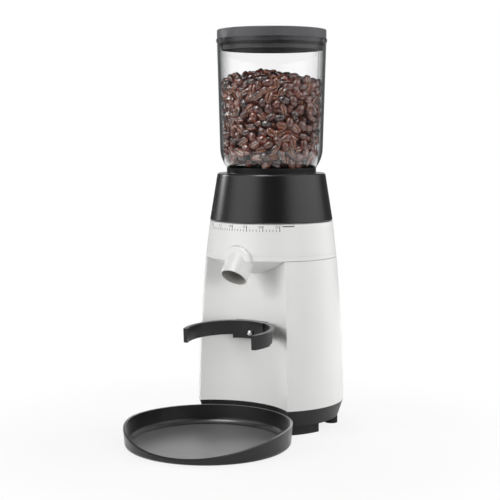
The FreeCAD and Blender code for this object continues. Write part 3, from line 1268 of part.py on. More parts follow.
def make_switch_housing():
    """Housing of the rocker switch, with its rim in the rear shell's window."""
    face = switch_face()
    rim_half_x = SWITCH_WIDTH / 2 + SWITCH_RIM
    rim_half_z = SWITCH_HEIGHT / 2 + SWITCH_RIM
    rim = block((-rim_half_x, rim_half_x), (face - SWITCH_RIM, face),
                (ROCKER_HEIGHT - rim_half_z, ROCKER_HEIGHT + rim_half_z))
    box = block((-SWITCH_WIDTH / 2, SWITCH_WIDTH / 2), (face - SWITCH_DEPTH, face),
                (ROCKER_HEIGHT - SWITCH_HEIGHT / 2, ROCKER_HEIGHT + SWITCH_HEIGHT / 2))
    half = ROCKER_WIDTH / 2 + FIT
    pivot = face - ROCKER_DEPTH
    drum = rod(ROCKER_RADIUS + FIT, V(-half, pivot, ROCKER_HEIGHT), V(half, pivot, ROCKER_HEIGHT))
    room = ROCKER_RADIUS + FIT
    window = block((-half, half), (pivot, face), (ROCKER_HEIGHT - room, ROCKER_HEIGHT + room))
    hole = rod(PIVOT_RADIUS + SLIDING, V(-SWITCH_WIDTH / 2, pivot, ROCKER_HEIGHT),
               V(SWITCH_WIDTH / 2, pivot, ROCKER_HEIGHT))
    return joined([rim, box]).cut(drum).cut(window).cut(hole)


def make_rocker():
    """Rocker key on its pivot pins, shown in its off position."""
    pivot = switch_face() - ROCKER_DEPTH
    half = ROCKER_WIDTH / 2
    drum = rod(ROCKER_RADIUS, V(-half, pivot, ROCKER_HEIGHT), V(half, pivot, ROCKER_HEIGHT))
    lean = math.tan(math.radians(ROCKER_TILT))
    middle = pivot + ROCKER_DEPTH - EDGE
    tip = middle + ROCKER_RADIUS * lean
    beyond = tip + ROCKER_RADIUS
    low = ROCKER_HEIGHT - ROCKER_RADIUS
    high = ROCKER_HEIGHT + ROCKER_RADIUS
    corners = [V(-half, middle, ROCKER_HEIGHT), V(-half, tip, high), V(-half, beyond, high),
               V(-half, beyond, low), V(-half, tip, low)]
    dish = Part.Face(Part.makePolygon(corners + corners[:1])).extrude(V(ROCKER_WIDTH, 0, 0))
    pin_half = SWITCH_WIDTH / 2
    pin = rod(PIVOT_RADIUS, V(-pin_half, pivot, ROCKER_HEIGHT), V(pin_half, pivot, ROCKER_HEIGHT))
    key = joined([drum.cut(dish), pin])
    key.rotate(V(0, pivot, ROCKER_HEIGHT), V(1, 0, 0), ROCKER_TILT)
    return key


PIECES = {
    "lid": make_lid, "lid_seal": make_lid_seal, "hopper": make_hopper,
    "hopper_base": make_hopper_base, "grind_collar": make_collar,
    "burr_carrier": make_burr_carrier, "carrier_spring": make_carrier_spring, "ring_burr": make_ring_burr,
    "cone_burr": make_cone_burr, "burr_nut": make_burr_nut, "impeller": make_impeller,
    "drive_shaft": make_drive_shaft, "upper_bush": make_upper_bush, "lower_bush": make_lower_bush,
    "shaft_seal": make_shaft_seal, "grind_chamber": make_grind_chamber,
    "chamber_screws": make_chamber_screws,
    "chute": make_chute, "chute_screws": make_chute_screws, "head_shell": make_head_shell,
    "chassis_plate": make_chassis_plate, "chassis_posts": make_chassis_posts,
    "chassis_screws": make_chassis_screws, "front_panel": make_front_panel, "rear_shell": make_rear_shell,
    "base_pan": make_base_pan, "base_screws": make_base_screws, "feet": make_feet, "tray": make_tray,
    "cradle": make_cradle, "cradle_screws": make_cradle_screws, "button_bezel": make_button_bezel,
    "start_button": make_start_button, "button_spring": make_button_spring,
    "switch_bracket": make_switch_bracket, "microswitch": make_microswitch, "gear_case": make_gear_case,
    "gear_cover": make_gear_cover, "case_screws": make_case_screws, "output_gear": make_output_gear,
    "idler_gear": make_idler_gear, "idler_pin": make_idler_pin, "motor_pinion": make_motor_pinion,
    "motor_can": make_motor_can, "motor_end_cap": make_motor_end_cap, "motor_screws": make_motor_screws,
    "motor_magnets": make_motor_magnets, "motor_armature": make_motor_armature,
    "motor_brushes": make_motor_brushes, "motor_shaft": make_motor_shaft,
    "control_board": make_control_board,
    "board_components": make_board_components, "board_screws": make_board_screws,
    "switch_housing": make_switch_housing, "rocker": make_rocker, "cord_gland": make_cord_gland,
}

os.makedirs("parts", exist_ok=True)
for name, make in PIECES.items():
    piece = make()
    piece.translate(V(0, AXIS_Y, 0))
    piece.exportStep(os.path.join("parts", name + ".step"))
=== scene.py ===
"""Burr coffee grinder: finishes, beans, printed scale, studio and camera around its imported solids.

Lengths are in metres in the part's own frame: +Z up, the front towards -Y, the table at z = 0.
"""

from __future__ import annotations

import json
import logging
import math
from dataclasses import dataclass, field
from enum import Enum

import bmesh
import bpy
import numpy as np
from mathutils import Matrix, Vector
from mathutils.bvhtree import BVHTree

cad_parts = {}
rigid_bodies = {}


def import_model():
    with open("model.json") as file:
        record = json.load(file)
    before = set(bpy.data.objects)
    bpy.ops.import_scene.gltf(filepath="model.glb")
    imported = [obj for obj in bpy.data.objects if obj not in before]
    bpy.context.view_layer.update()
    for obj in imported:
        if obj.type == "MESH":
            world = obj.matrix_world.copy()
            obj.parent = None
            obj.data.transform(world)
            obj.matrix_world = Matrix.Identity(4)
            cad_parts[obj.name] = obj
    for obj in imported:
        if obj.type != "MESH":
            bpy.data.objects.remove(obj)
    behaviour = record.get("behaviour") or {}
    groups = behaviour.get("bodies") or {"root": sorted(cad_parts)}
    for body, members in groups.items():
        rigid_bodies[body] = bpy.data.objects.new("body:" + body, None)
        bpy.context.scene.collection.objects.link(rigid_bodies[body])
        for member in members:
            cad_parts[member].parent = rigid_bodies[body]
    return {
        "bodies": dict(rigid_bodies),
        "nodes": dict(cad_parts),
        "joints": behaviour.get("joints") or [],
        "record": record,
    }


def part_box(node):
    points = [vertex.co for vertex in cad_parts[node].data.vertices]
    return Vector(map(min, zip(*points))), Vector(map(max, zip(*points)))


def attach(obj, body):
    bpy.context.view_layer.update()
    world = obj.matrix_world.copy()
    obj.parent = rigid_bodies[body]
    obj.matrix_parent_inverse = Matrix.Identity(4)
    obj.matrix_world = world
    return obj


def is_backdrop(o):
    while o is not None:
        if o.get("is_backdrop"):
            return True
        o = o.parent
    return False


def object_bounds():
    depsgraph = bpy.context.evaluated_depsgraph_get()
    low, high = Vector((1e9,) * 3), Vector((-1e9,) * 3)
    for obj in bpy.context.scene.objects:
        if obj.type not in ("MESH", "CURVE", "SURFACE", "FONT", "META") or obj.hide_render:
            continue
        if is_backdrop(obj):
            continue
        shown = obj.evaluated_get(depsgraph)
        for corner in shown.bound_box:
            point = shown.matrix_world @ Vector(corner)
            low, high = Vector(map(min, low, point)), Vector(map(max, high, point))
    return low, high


LOG = logging.getLogger("grinder")
MM = 0.001
TINY = 1e-9
RAY_START = 0.2
ANY_BOUNCE = 0.5


def linear(hex_colour: str) -> tuple[float, float, float, float]:
    """Turn an sRGB hex value into linear RGBA.

    Args:
        hex_colour: Six hex digits, with or without a leading #.

    Returns:
        The colour as linear red, green, blue and an alpha of 1.
    """
    digits = hex_colour.lstrip("#")
    channels = [int(digits[i:i + 2], 16) / 255 for i in (0, 2, 4)]
    straight = [c / 12.92 if c <= 0.04045 else ((c + 0.055) / 1.055) ** 2.4 for c in channels]
    return (straight[0], straight[1], straight[2], 1.0)


def per_metre(size_mm: float) -> float:
    """Texture scale at which one feature of a pattern measures size_mm."""
    return 1.0 / (size_mm * MM)


def add_node(tree: bpy.types.NodeTree, kind: str, values: dict | None = None,
             links: dict | None = None, **settings) -> bpy.types.Node:
    """Add a node with its settings, input values and links.

    Args:
        tree: Node tree that takes the node.
        kind: Blender's name of the node type.
        values: Input values by socket name or index.
        links: Output sockets by the input that they feed.
        **settings: Attributes of the node itself.

    Returns:
        The new node.
    """
    node = tree.nodes.new(kind)
    for key, value in settings.items():
        setattr(node, key, value)
    for key, value in (values or {}).items():
        node.inputs[key].default_value = value
    for key, source in (links or {}).items():
        tree.links.new(source, node.inputs[key])
    return node


def new_material(name: str) -> tuple[bpy.types.Material, bpy.types.NodeTree]:
    """Start an empty node material.

    Args:
        name: Name of the finish.

    Returns:
        The material and its cleared node tree.
    """
    material = bpy.data.materials.new(name)
    material.use_nodes = True
    material.node_tree.nodes.clear()
    return material, material.node_tree


def close_material(tree: bpy.types.NodeTree, shader: bpy.types.Node) -> None:
    """Link a shader to a new material output."""
    add_node(tree, "ShaderNodeOutputMaterial", links={"Surface": shader.outputs[0]})


class Lay(Enum):
    """Direction of the fine lines that a cutting or rolling tool leaves."""

    CAST = (1.0, 1.0, 1.0)
    TURNED = (0.15, 0.15, 6.0)
    ROLLED = (0.1, 4.0, 4.0)


@dataclass(frozen=True)
class MouldedPlastic:
    """Injection-moulded plastic: an even colour with a faint cloud, over the mould's fine texture."""

    name: str
    colour: str
    cloud: str
    roughness: float
    spread: float = 0.04
    grain_mm: float = 0.8
    grain_depth_mm: float = 0.004
    cloud_mm: float = 60.0
    ior: float = 1.5
    gloss_level: float = 0.5
    soft_touch: float = 0.0
    soft_spread: float = 0.26
    bump_strength: float = 0.5

    def tone(self, tree: bpy.types.NodeTree, place: bpy.types.NodeSocket,
             cloud: bpy.types.NodeSocket) -> bpy.types.NodeSocket:
        """Colour of the surface.

        Args:
            tree: The material's nodes.
            place: Object coordinates, not used by this plain colour.
            cloud: Faint cloud in the plastic.

        Returns:
            The colour's socket.
        """
        return add_node(tree, "ShaderNodeMix", {6: linear(self.colour), 7: linear(self.cloud)}, {0: cloud},
                        data_type="RGBA").outputs[2]

    def build(self) -> bpy.types.Material:
        """Make the material."""
        material, tree = new_material(self.name)
        place = add_node(tree, "ShaderNodeTexCoord").outputs["Object"]
        cloud = add_node(tree, "ShaderNodeTexNoise", {"Scale": per_metre(self.cloud_mm), "Detail": 3.0},
                         {"Vector": place})
        grain = add_node(tree, "ShaderNodeTexNoise", {"Scale": per_metre(self.grain_mm), "Detail": 2.0},
                         {"Vector": place})
        polish = add_node(tree, "ShaderNodeMapRange",
                          {"To Min": self.roughness - self.spread, "To Max": self.roughness + self.spread},
                          {"Value": cloud.outputs["Fac"]})
        bump = add_node(tree, "ShaderNodeBump",
                        {"Strength": self.bump_strength, "Distance": self.grain_depth_mm * MM},
                        {"Height": grain.outputs["Fac"]})
        shader = add_node(tree, "ShaderNodeBsdfPrincipled",
                          {"IOR": self.ior, "Specular IOR Level": self.gloss_level,
                           "Sheen Weight": self.soft_touch, "Sheen Roughness": self.soft_spread},
                          {"Base Color": self.tone(tree, place, cloud.outputs["Fac"]),
                           "Roughness": polish.outputs[0], "Normal": bump.outputs[0]})
        close_material(tree, shader)
        return material


@dataclass(frozen=True)
class DustedPlastic(MouldedPlastic):
    """Moulded plastic with painted shade in grey on its sloping bore."""

    dust: str = "#a09d99"
    mouth: tuple[float, float, float] = (0.0, -0.0098, 0.1536)
    slope: float = 51.0
    bore_radius: float = 11.7 * MM
    dust_band: tuple[float, float] = (0.1 * MM, 0.7 * MM)

    def tone(self, tree: bpy.types.NodeTree, place: bpy.types.NodeSocket,
             cloud: bpy.types.NodeSocket) -> bpy.types.NodeSocket:
        """Colour of the surface: painted shade within reach of the bore's axis, the plain colour outside
        it.

        Args:
            tree: The material's nodes.
            place: Object coordinates.
            cloud: Faint cloud in the plastic.

        Returns:
            The colour's socket.
        """
        clean = super().tone(tree, place, cloud)
        rise = math.radians(self.slope)
        along = (0.0, math.cos(rise), math.sin(rise))
        offset = add_node(tree, "ShaderNodeVectorMath", {1: self.mouth}, {0: place}, operation="SUBTRACT")
        across = add_node(tree, "ShaderNodeVectorMath", {1: along}, {0: offset.outputs[0]},
                          operation="CROSS_PRODUCT")
        reach = add_node(tree, "ShaderNodeVectorMath", {}, {0: across.outputs[0]}, operation="LENGTH")
        shade_until, clear = self.dust_band
        outside = add_node(tree, "ShaderNodeMapRange",
                           {"From Min": self.bore_radius + shade_until, "From Max": self.bore_radius + clear},
                           {"Value": reach.outputs["Value"]})
        # Painted shade: the bore is greyed towards its axis, where the inside of the spout lies in shade.
        return add_node(tree, "ShaderNodeMix", {6: linear(self.dust)}, {0: outside.outputs[0], 7: clean},
                        data_type="RGBA").outputs[2]


@dataclass(frozen=True)
class ClearPlastic:
    """Clear moulded styrene with painted shade: grey where it is seen edge on, with the haze of handling.
    """

    name: str
    tint: str
    edge_tint: str
    roughness: float
    haze: float
    haze_mm: float = 25.0
    haze_band: tuple[float, float] = (0.4, 0.8)
    edge_band: tuple[float, float] = (0.36, 0.85)
    ior: float = 1.45

    def build(self) -> bpy.types.Material:
        """Make the material."""
        material, tree = new_material(self.name)
        place = add_node(tree, "ShaderNodeTexCoord").outputs["Object"]
        smear = add_node(tree, "ShaderNodeTexNoise", {"Scale": per_metre(self.haze_mm), "Detail": 4.0},
                         {"Vector": place})
        clean, hazy = self.haze_band
        polish = add_node(tree, "ShaderNodeMapRange",
                          {"From Min": clean, "From Max": hazy,
                           "To Min": self.roughness, "To Max": self.haze},
                          {"Value": smear.outputs["Fac"]})
        facing = add_node(tree, "ShaderNodeLayerWeight", {"Blend": 0.5}).outputs["Facing"]
        start, end = self.edge_band
        edge = add_node(tree, "ShaderNodeMapRange", {"From Min": start, "From Max": end},
                        {"Value": facing})
        # Painted shade: the colour turns grey where the surface is seen edge on.
        tone = add_node(tree, "ShaderNodeMix", {6: linear(self.tint), 7: linear(self.edge_tint)},
                        {0: edge.outputs[0]}, data_type="RGBA")
        shader = add_node(tree, "ShaderNodeBsdfPrincipled", {"IOR": self.ior, "Transmission Weight": 1.0},
                          {"Base Color": tone.outputs[2], "Roughness": polish.outputs[0]})
        close_material(tree, shader)
        return material


@dataclass(frozen=True)
class BareMetal:
    """Bare or plated metal with the fine lines or grain of its making."""

    name: str
    colour: str
    shade: str
    roughness: float
    lay: Lay = Lay.CAST
    grain_mm: float = 1.2
    grain_depth_mm: float = 0.01
    polish_spread: float = 0.3
    bump_strength: float = 0.4

    def build(self) -> bpy.types.Material:
        """Make the material."""
        material, tree = new_material(self.name)
        place = add_node(tree, "ShaderNodeTexCoord").outputs["Object"]
        along = add_node(tree, "ShaderNodeMapping", {"Scale": self.lay.value}, {"Vector": place})
        grain = add_node(tree, "ShaderNodeTexNoise", {"Scale": per_metre(self.grain_mm), "Detail": 3.0},
                         {"Vector": along.outputs[0]})
        tone = add_node(tree, "ShaderNodeMix", {6: linear(self.colour), 7: linear(self.shade)},
                        {0: grain.outputs["Fac"]}, data_type="RGBA")
        polish = add_node(tree, "ShaderNodeMapRange",
                          {"To Min": self.roughness * (1 - self.polish_spread),
                           "To Max": self.roughness * (1 + self.polish_spread)},
                          {"Value": grain.outputs["Fac"]})
        bump = add_node(tree, "ShaderNodeBump",
                        {"Strength": self.bump_strength, "Distance": self.grain_depth_mm * MM},
                        {"Height": grain.outputs["Fac"]})
        shader = add_node(tree, "ShaderNodeBsdfPrincipled", {"Metallic": 1.0},
                          {"Base Color": tone.outputs[2], "Roughness": polish.outputs[0],
                           "Normal": bump.outputs[0]})
        close_material(tree, shader)
        return material


@dataclass(frozen=True)
class RoastedSkin:
    """Skin of a roasted bean: oily brown and wrinkled, with pale silverskin and a painted highlight on the
    lips of its crease, and painted shade along the crease.
    """

    name: str
    dark: str
    warm: str
    chaff: str
    furrow: str
    roughness: float
    wrinkle_mm: float = 2.2
    wrinkle_depth_mm: float = 0.25
    bump_strength: float = 0.6
    chaff_patches: tuple[float, float] = (0.35, 0.6)
    least_chaff: float = 0.4
    lip_band: tuple[float, float] = (0.25, 0.6)
    furrow_band: tuple[float, float] = (0.7, 0.9)
    gloss_level: float = 0.05
    oil_roughness: float = 0.08
    oil_ior: float = 2.0

    def build(self) -> bpy.types.Material:
        """Make the material."""
        material, tree = new_material(self.name)
        place = add_node(tree, "ShaderNodeTexCoord").outputs["Object"]
        roast = add_node(tree, "ShaderNodeAttribute", attribute_name="roast").outputs["Fac"]
        crease = add_node(tree, "ShaderNodeAttribute", attribute_name="crease").outputs["Fac"]
        skin = add_node(tree, "ShaderNodeMix", {6: linear(self.dark), 7: linear(self.warm)}, {0: roast},
                        data_type="RGBA")
        wrinkle = add_node(tree, "ShaderNodeTexNoise", {"Scale": per_metre(self.wrinkle_mm), "Detail": 3.0},
                           {"Vector": place})
        bare, flaky = self.chaff_patches
        patchy = add_node(tree, "ShaderNodeMapRange",
                          {"From Min": bare, "From Max": flaky, "To Min": self.least_chaff},
                          {"Value": wrinkle.outputs["Fac"]})
        # Painted highlight, partly silverskin: the lips beside the crease are paled in patches.
        start, end = self.lip_band
        lip = add_node(tree, "ShaderNodeMapRange", {"From Min": start, "From Max": end}, {"Value": crease})
        pale_lip_share = add_node(tree, "ShaderNodeMath", {}, {0: lip.outputs[0], 1: patchy.outputs[0]},
                         operation="MULTIPLY")
        edged = add_node(tree, "ShaderNodeMix", {7: linear(self.chaff)},
                         {0: pale_lip_share.outputs[0], 6: skin.outputs[2]}, data_type="RGBA")
        # Painted shade: the middle of the crease is darkened.
        start, end = self.furrow_band
        furrow = add_node(tree, "ShaderNodeMapRange", {"From Min": start, "From Max": end},
                          {"Value": crease})
        tone = add_node(tree, "ShaderNodeMix", {7: linear(self.furrow)},
                        {0: furrow.outputs[0], 6: edged.outputs[2]}, data_type="RGBA")
        bump = add_node(tree, "ShaderNodeBump",
                        {"Strength": self.bump_strength, "Distance": self.wrinkle_depth_mm * MM},
                        {"Height": wrinkle.outputs["Fac"]})
        shader = add_node(tree, "ShaderNodeBsdfPrincipled",
                          {"Roughness": self.roughness, "Specular IOR Level": self.gloss_level,
                           "Coat Weight": 1.0, "Coat Roughness": self.oil_roughness,
                           "Coat IOR": self.oil_ior},
                          {"Base Color": tone.outputs[2], "Normal": bump.outputs[0]})
        close_material(tree, shader)
        return material


# ABS from a finely textured mould: clean white with a soft sheen that follows the curves.
WHITE_ABS = MouldedPlastic("white_abs", "#ebebea", "#e6e6e4", 0.3, grain_mm=1.5, grain_depth_mm=0.003)
# Satin black ABS: broad soft bands of what stands round it run down the collar.
BLACK_SATIN = MouldedPlastic("black_satin_abs", "#111112", "#161617", 0.24, grain_mm=0.6, gloss_level=0.45)
# Soft-touch black ABS: near black face on and greyer where it is seen at a low angle.
BLACK_DISH = MouldedPlastic("soft_touch_black_abs", "#0a0a0b", "#0e0e0f", 0.3, grain_mm=0.8,
                            grain_depth_mm=0.01, gloss_level=0.5, soft_touch=1.0)
# White ABS with painted shade in grey on its bore: a dim mouth in a clean spout.
BORE_SHADED_CHUTE = DustedPlastic("white_abs_painted_bore_shade", "#ebebea", "#e6e6e4", 0.3, grain_mm=1.5,
                             grain_depth_mm=0.003)
# Black ABS from a spark-eroded mould: dull and grainy, its grain coarser than real so that it shows.
BLACK_TEXTURED = MouldedPlastic("black_textured_abs", "#0f0f10", "#141415", 0.36, grain_mm=0.7,
                                grain_depth_mm=0.02, gloss_level=0.45)
# Dark grey moulded plastic: a matt lid, lighter than the collar below it.
LID_GREY = MouldedPlastic("dark_grey_lid_plastic", "#505053", "#565659", 0.36, grain_mm=0.6,
                          gloss_level=0.4)
# Clear moulded styrene: colourless face on, with painted shade in grey along its edges, and a faint haze.
CLEAR_HOPPER = ClearPlastic("clear_styrene", "#ffffff", "#85888b", 0.01, 0.02)
# Moulded rubber: dull black without gloss, its grain coarser than real so that it shows.
SOFT_RUBBER = MouldedPlastic("soft_rubber", "#141414", "#1c1c1c", 0.75, grain_mm=0.9, grain_depth_mm=0.05)
# Chrome plate on a turned dome: a dark mirror with one small bright spot.
CHROME = BareMetal("chrome_plate", "#d9dadc", "#cfd0d2", 0.08, grain_depth_mm=0.001)
# Ground tool steel: grey with fine lines round it, coarser than real so that they show.
TOOL_STEEL = BareMetal("ground_tool_steel", "#8e8f92", "#77787b", 0.3, Lay.TURNED)
# Zinc-plated sheet and screws: pale silver with the lines of rolling.
PLATED_STEEL = BareMetal("zinc_plated_steel", "#b9babc", "#a4a5a6", 0.28, Lay.ROLLED)
# Die-cast alloy: matt light grey with a sandy skin.
DIE_CAST = BareMetal("die_cast_alloy", "#a9aaac", "#98999b", 0.45, grain_mm=2.0, grain_depth_mm=0.05)
# Sintered bronze: a dull yellow brown with an open grain.
BRONZE = BareMetal("sintered_bronze", "#a9793f", "#8d6332", 0.5)
# Natural nylon: milky cream and slightly waxy.
NYLON = MouldedPlastic("natural_nylon", "#d8d3c3", "#cdc7b4", 0.45)
# Sintered ferrite: a chalky grey that is nearly black.
MAGNET = BareMetal("sintered_magnet", "#3b3b3f", "#2c2c30", 0.55)
# Solder mask over a circuit board: glossy dark green, mottled by the copper under it.
SOLDER_MASK = MouldedPlastic("green_solder_mask", "#1d5b33", "#174a2a", 0.35, cloud_mm=6.0)
# Moulded epoxy resin: plain dark blue grey.
COMPONENT = MouldedPlastic("component_resin", "#24252b", "#1b1c20", 0.4)
# Pressed carbon: matt black with a dusty bloom.
CARBON = MouldedPlastic("pressed_carbon", "#1c1c1d", "#29292a", 0.7)
# Pad-printed ink: flat dark grey without gloss.
PRINT_INK = MouldedPlastic("grey_print_ink", "#232327", "#303034", 0.55, cloud_mm=3.0)
# Pad-printed white ink: flat and a little thin.
WHITE_INK = MouldedPlastic("white_print_ink", "#dededb", "#d2d2cf", 0.55, cloud_mm=3.0)
# Roasted skin: oily browns with small bright spots, painted shade along the crease and a painted highlight
# with pale silverskin on its lips, its wrinkles coarser than real.
# The IOR of the oil is above the real one, so that its spots show.
BEAN = RoastedSkin("roasted_bean_skin", "#391208", "#863a20", "#bc7550", "#120503", 0.35)


class Workshop:
    """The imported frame, its nodes and the materials made so far."""

    def __init__(self) -> None:
        """Load the frame and note its box."""
        self.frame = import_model()
        self.cad_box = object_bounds()
        self.nodes: dict[str, bpy.types.Object] = self.frame["nodes"]
        self.made: dict[str, bpy.types.Material] = {}
        low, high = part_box("hopper")
        self.axis = Vector(((low.x + high.x) / 2, (low.y + high.y) / 2, 0.0))

    def material(self, finish) -> bpy.types.Material:
        """Material of a finish, made at its first use."""
        if finish.name not in self.made:
            self.made[finish.name] = finish.build()
        return self.made[finish.name]

    def dress(self, finish, *nodes: str) -> None:
        """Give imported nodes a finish.

        Args:
            finish: The finish to use.
            *nodes: Names of the nodes.
        """
        for name in nodes:
            slots = self.nodes[name].data.materials
            slots.clear()
            slots.append(self.material(finish))
        LOG.info("dressed %s in %s", ", ".join(nodes), finish.name)

    def piece(self, name: str, mesh: bpy.types.Mesh, finish, body: str) -> bpy.types.Object:
        """Add a new piece that rides on a body.

        Args:
            name: Name of the piece.
            mesh: Its mesh, in place.
            finish: Its finish.
            body: Body that carries it.

        Returns:
            The new object.
        """
        thing = bpy.data.objects.new(name, mesh)
        bpy.context.scene.collection.objects.link(thing)
        mesh.materials.append(self.material(finish))
        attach(thing, body)
        LOG.info("made %s: %d faces", name, len(mesh.polygons))
        return thing

    def surface(self, node: str) -> BVHTree:
        """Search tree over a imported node's faces."""
        mesh = bmesh.new()
        mesh.from_mesh(self.nodes[node].data)
        tree = BVHTree.FromBMesh(mesh)
        mesh.free()
        return tree


def bearing(degrees: float) -> Vector:
    """Level unit vector: 0 degrees is the front, positive turns towards +X."""
    turn = math.radians(degrees)
    return Vector((math.sin(turn), -math.cos(turn), 0.0))


def finished(mesh: bmesh.types.BMesh, name: str, smooth: bool = False) -> bpy.types.Mesh:
    """Write a bmesh to a new mesh and free it.

    Args:
        mesh: The bmesh.
        name: Name of the new mesh.
        smooth: Whether its faces are shaded smooth.

    Returns:
        The new mesh.
    """
    data = bpy.data.meshes.new(name)
    mesh.to_mesh(data)
    mesh.free()
    if smooth:
        data.polygons.foreach_set("use_smooth", [True] * len(data.polygons))
    return data


def text_mesh(words: str, height: float, thickness: float) -> bpy.types.Mesh:
    """Flat lettering centred on the origin, as a mesh.

    Args:
        words: The characters.
        height: Size of the type.
        thickness: Depth of the letters.

    Returns:
        The mesh, lying in the XY plane and facing +Z.
    """
    curve = bpy.data.curves.new("type", "FONT")
    curve.body = words
    curve.size = height
    curve.align_x = "CENTER"
    curve.align_y = "CENTER"
    curve.extrude = thickness / 2
    thing = bpy.data.objects.new("type", curve)
    bpy.context.scene.collection.objects.link(thing)
    graph = bpy.context.evaluated_depsgraph_get()
    mesh = bpy.data.meshes.new_from_object(thing.evaluated_get(graph))
    bpy.data.objects.remove(thing)
    bpy.data.curves.remove(curve)
    return mesh


@dataclass
class Beans:
    """Roasted beans that fill the hopper up to a low heap."""

    length: float = 11.8 * MM
    width: float = 8.6 * MM
    thickness: float = 6.4 * MM
    spacing: float = 8.2 * MM
    count: int = 1300
    rim_level: float = 0.34
    heap_rise: float = 0.0125
    heap_bumps: float = 2.5 * MM
    peak_bearing: float = -58.0
    heap_lean: float = 0.5
    floor_clear: float = 3.2 * MM
    wall_layer: float = 7.5 * MM
    skin_gap: float = 0.25 * MM
    size_spread: float = 0.12
    rounds: int = 70
    seed: int = 11
    sides: int = 10
    rings: int = 6
    end_from: float = 0.6
    tip_from: float = 0.99
    flat_share: float = 0.55
    lip_pinch: float = 0.5
    lip_rise: float = 1.1
    furrow_depth: float = 0.34
    end_fill: tuple[float, float, float] = (0.96, 1.2, 1.2)
    tip_trim: float = 0.94
    push_share: float = 0.3
    wall_share: float = 0.6
    crease_inward: float = 0.1
    lean_range: float = 0.5
    survey_levels: int = 120
    survey_turns: tuple[float, ...] = (10, 100, 190, 280)
    wall: list[tuple[float, float]] = field(default_factory=list)

    def template(self) -> tuple[bpy.types.Mesh, np.ndarray]:
        """One bean at the origin: long along X, its creased flat side facing -Z.

        Returns:
            The mesh and, for each vertex, how far it lies in the crease.
        """
        bean = bmesh.new()
        bmesh.ops.create_uvsphere(bean, u_segments=self.sides, v_segments=self.rings, radius=1.0)
        lengthwise = Matrix.Rotation(math.pi / 2, 3, "Y")
        row_down = Matrix.Rotation(math.pi / self.sides, 3, "X")
        bmesh.ops.rotate(bean, verts=bean.verts, cent=(0, 0, 0), matrix=row_down @ lengthwise)
        ends = [v for v in bean.verts if self.end_from < abs(v.co.x) < self.tip_from]
        tips = [v for v in bean.verts if abs(v.co.x) > self.tip_from]
        flat = [v for v in bean.verts if v.co.z < -0.01]
        lips = [v for v in flat if 0.02 < abs(v.co.y) < 0.6 * math.hypot(v.co.y, v.co.z)]
        furrow = [v for v in flat if abs(v.co.y) < 0.01 and abs(v.co.x) < self.tip_from]
        bmesh.ops.scale(bean, verts=flat, vec=(1.0, 1.0, self.flat_share))
        bmesh.ops.scale(bean, verts=lips, vec=(1.0, self.lip_pinch, self.lip_rise))
        bmesh.ops.translate(bean, verts=furrow, vec=(0, 0, self.furrow_depth))
        bmesh.ops.scale(bean, verts=ends, vec=self.end_fill)
        bmesh.ops.scale(bean, verts=tips, vec=(self.tip_trim, 1.0, 1.0))
        size = (self.length / 2, self.width / 2, self.thickness / 1.5)
        bmesh.ops.scale(bean, verts=bean.verts, vec=size)
        depth = np.array([1.0 if v in furrow else 0.5 if v in lips else 0.0 for v in bean.verts])
        return finished(bean, "bean", smooth=True), depth

    def survey(self, shop: Workshop) -> None:
        """Measure the hopper's inner radius at each level with rays from the axis."""
        tree = shop.surface("hopper")
        low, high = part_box("hopper")
        for level in np.linspace(low.z + MM, high.z - MM, self.survey_levels):
            start = Vector((shop.axis.x, shop.axis.y, level))
            reach = [tree.ray_cast(start, bearing(turn))[3] for turn in self.survey_turns]
            self.wall.append((float(level), min(r for r in reach if r is not None)))

    def inner_radius(self, levels: np.ndarray) -> np.ndarray:
        """Hopper's inner radius at some levels."""
        table = np.array(self.wall)
        return np.interp(levels, table[:, 0], table[:, 1])

    def heap(self, spots: np.ndarray) -> np.ndarray:
        """Level of the heap's top over some spots: a low mound with its peak off the axis."""
        widest = self.inner_radius(np.array([self.rim_level]))[0]
        share = np.clip(np.hypot(spots[:, 0], spots[:, 1]) / widest, 0, 1)
        lean = 1 + self.heap_lean * (spots[:, :2] @ np.array(bearing(self.peak_bearing)[:2])) / widest
        return self.rim_level + self.heap_rise * (1 - share ** 2) * lean

    def settle(self, rng: np.random.Generator) -> np.ndarray:
        """Scatter the beans in the hopper and push them apart until they lie evenly.

        Args:
            rng: Seeded source of numbers.

        Returns:
            Middles of the beans about the axis.
        """
        table = np.array(self.wall)
        floor = table[0, 0] + self.floor_clear
        spots = np.empty((0, 3))
        widest = table[:, 1].max()
        ceiling = self.rim_level + self.heap_rise
        while len(spots) < self.count:
            throw = rng.uniform((-widest, -widest, floor), (widest, widest, ceiling), (self.count, 3))
            radii = np.hypot(throw[:, 0], throw[:, 1])
            kept = throw[radii < self.inner_radius(throw[:, 2]) - self.thickness / 2]
            spots = np.vstack((spots, kept))
        spots = spots[:self.count]
        bumps = rng.uniform(-self.heap_bumps, self.heap_bumps, self.count)
        for _ in range(self.rounds):
            away = spots[:, None, :] - spots[None, :, :]
            distance = np.sqrt((away ** 2).sum(-1)) + TINY
            push = np.clip(self.spacing - distance, 0, None) / distance
            np.fill_diagonal(push, 0)
            spots = spots + self.push_share * (push[:, :, None] * away).sum(1)
            radii = np.hypot(spots[:, 0], spots[:, 1])
            spots[:, 2] = np.clip(spots[:, 2], floor, self.heap(spots) + bumps - self.thickness / 2)
            limit = self.inner_radius(spots[:, 2]) - self.thickness * self.wall_share
            spots[:, :2] *= np.minimum(1.0, limit / np.maximum(radii, TINY))[:, None]
        return spots

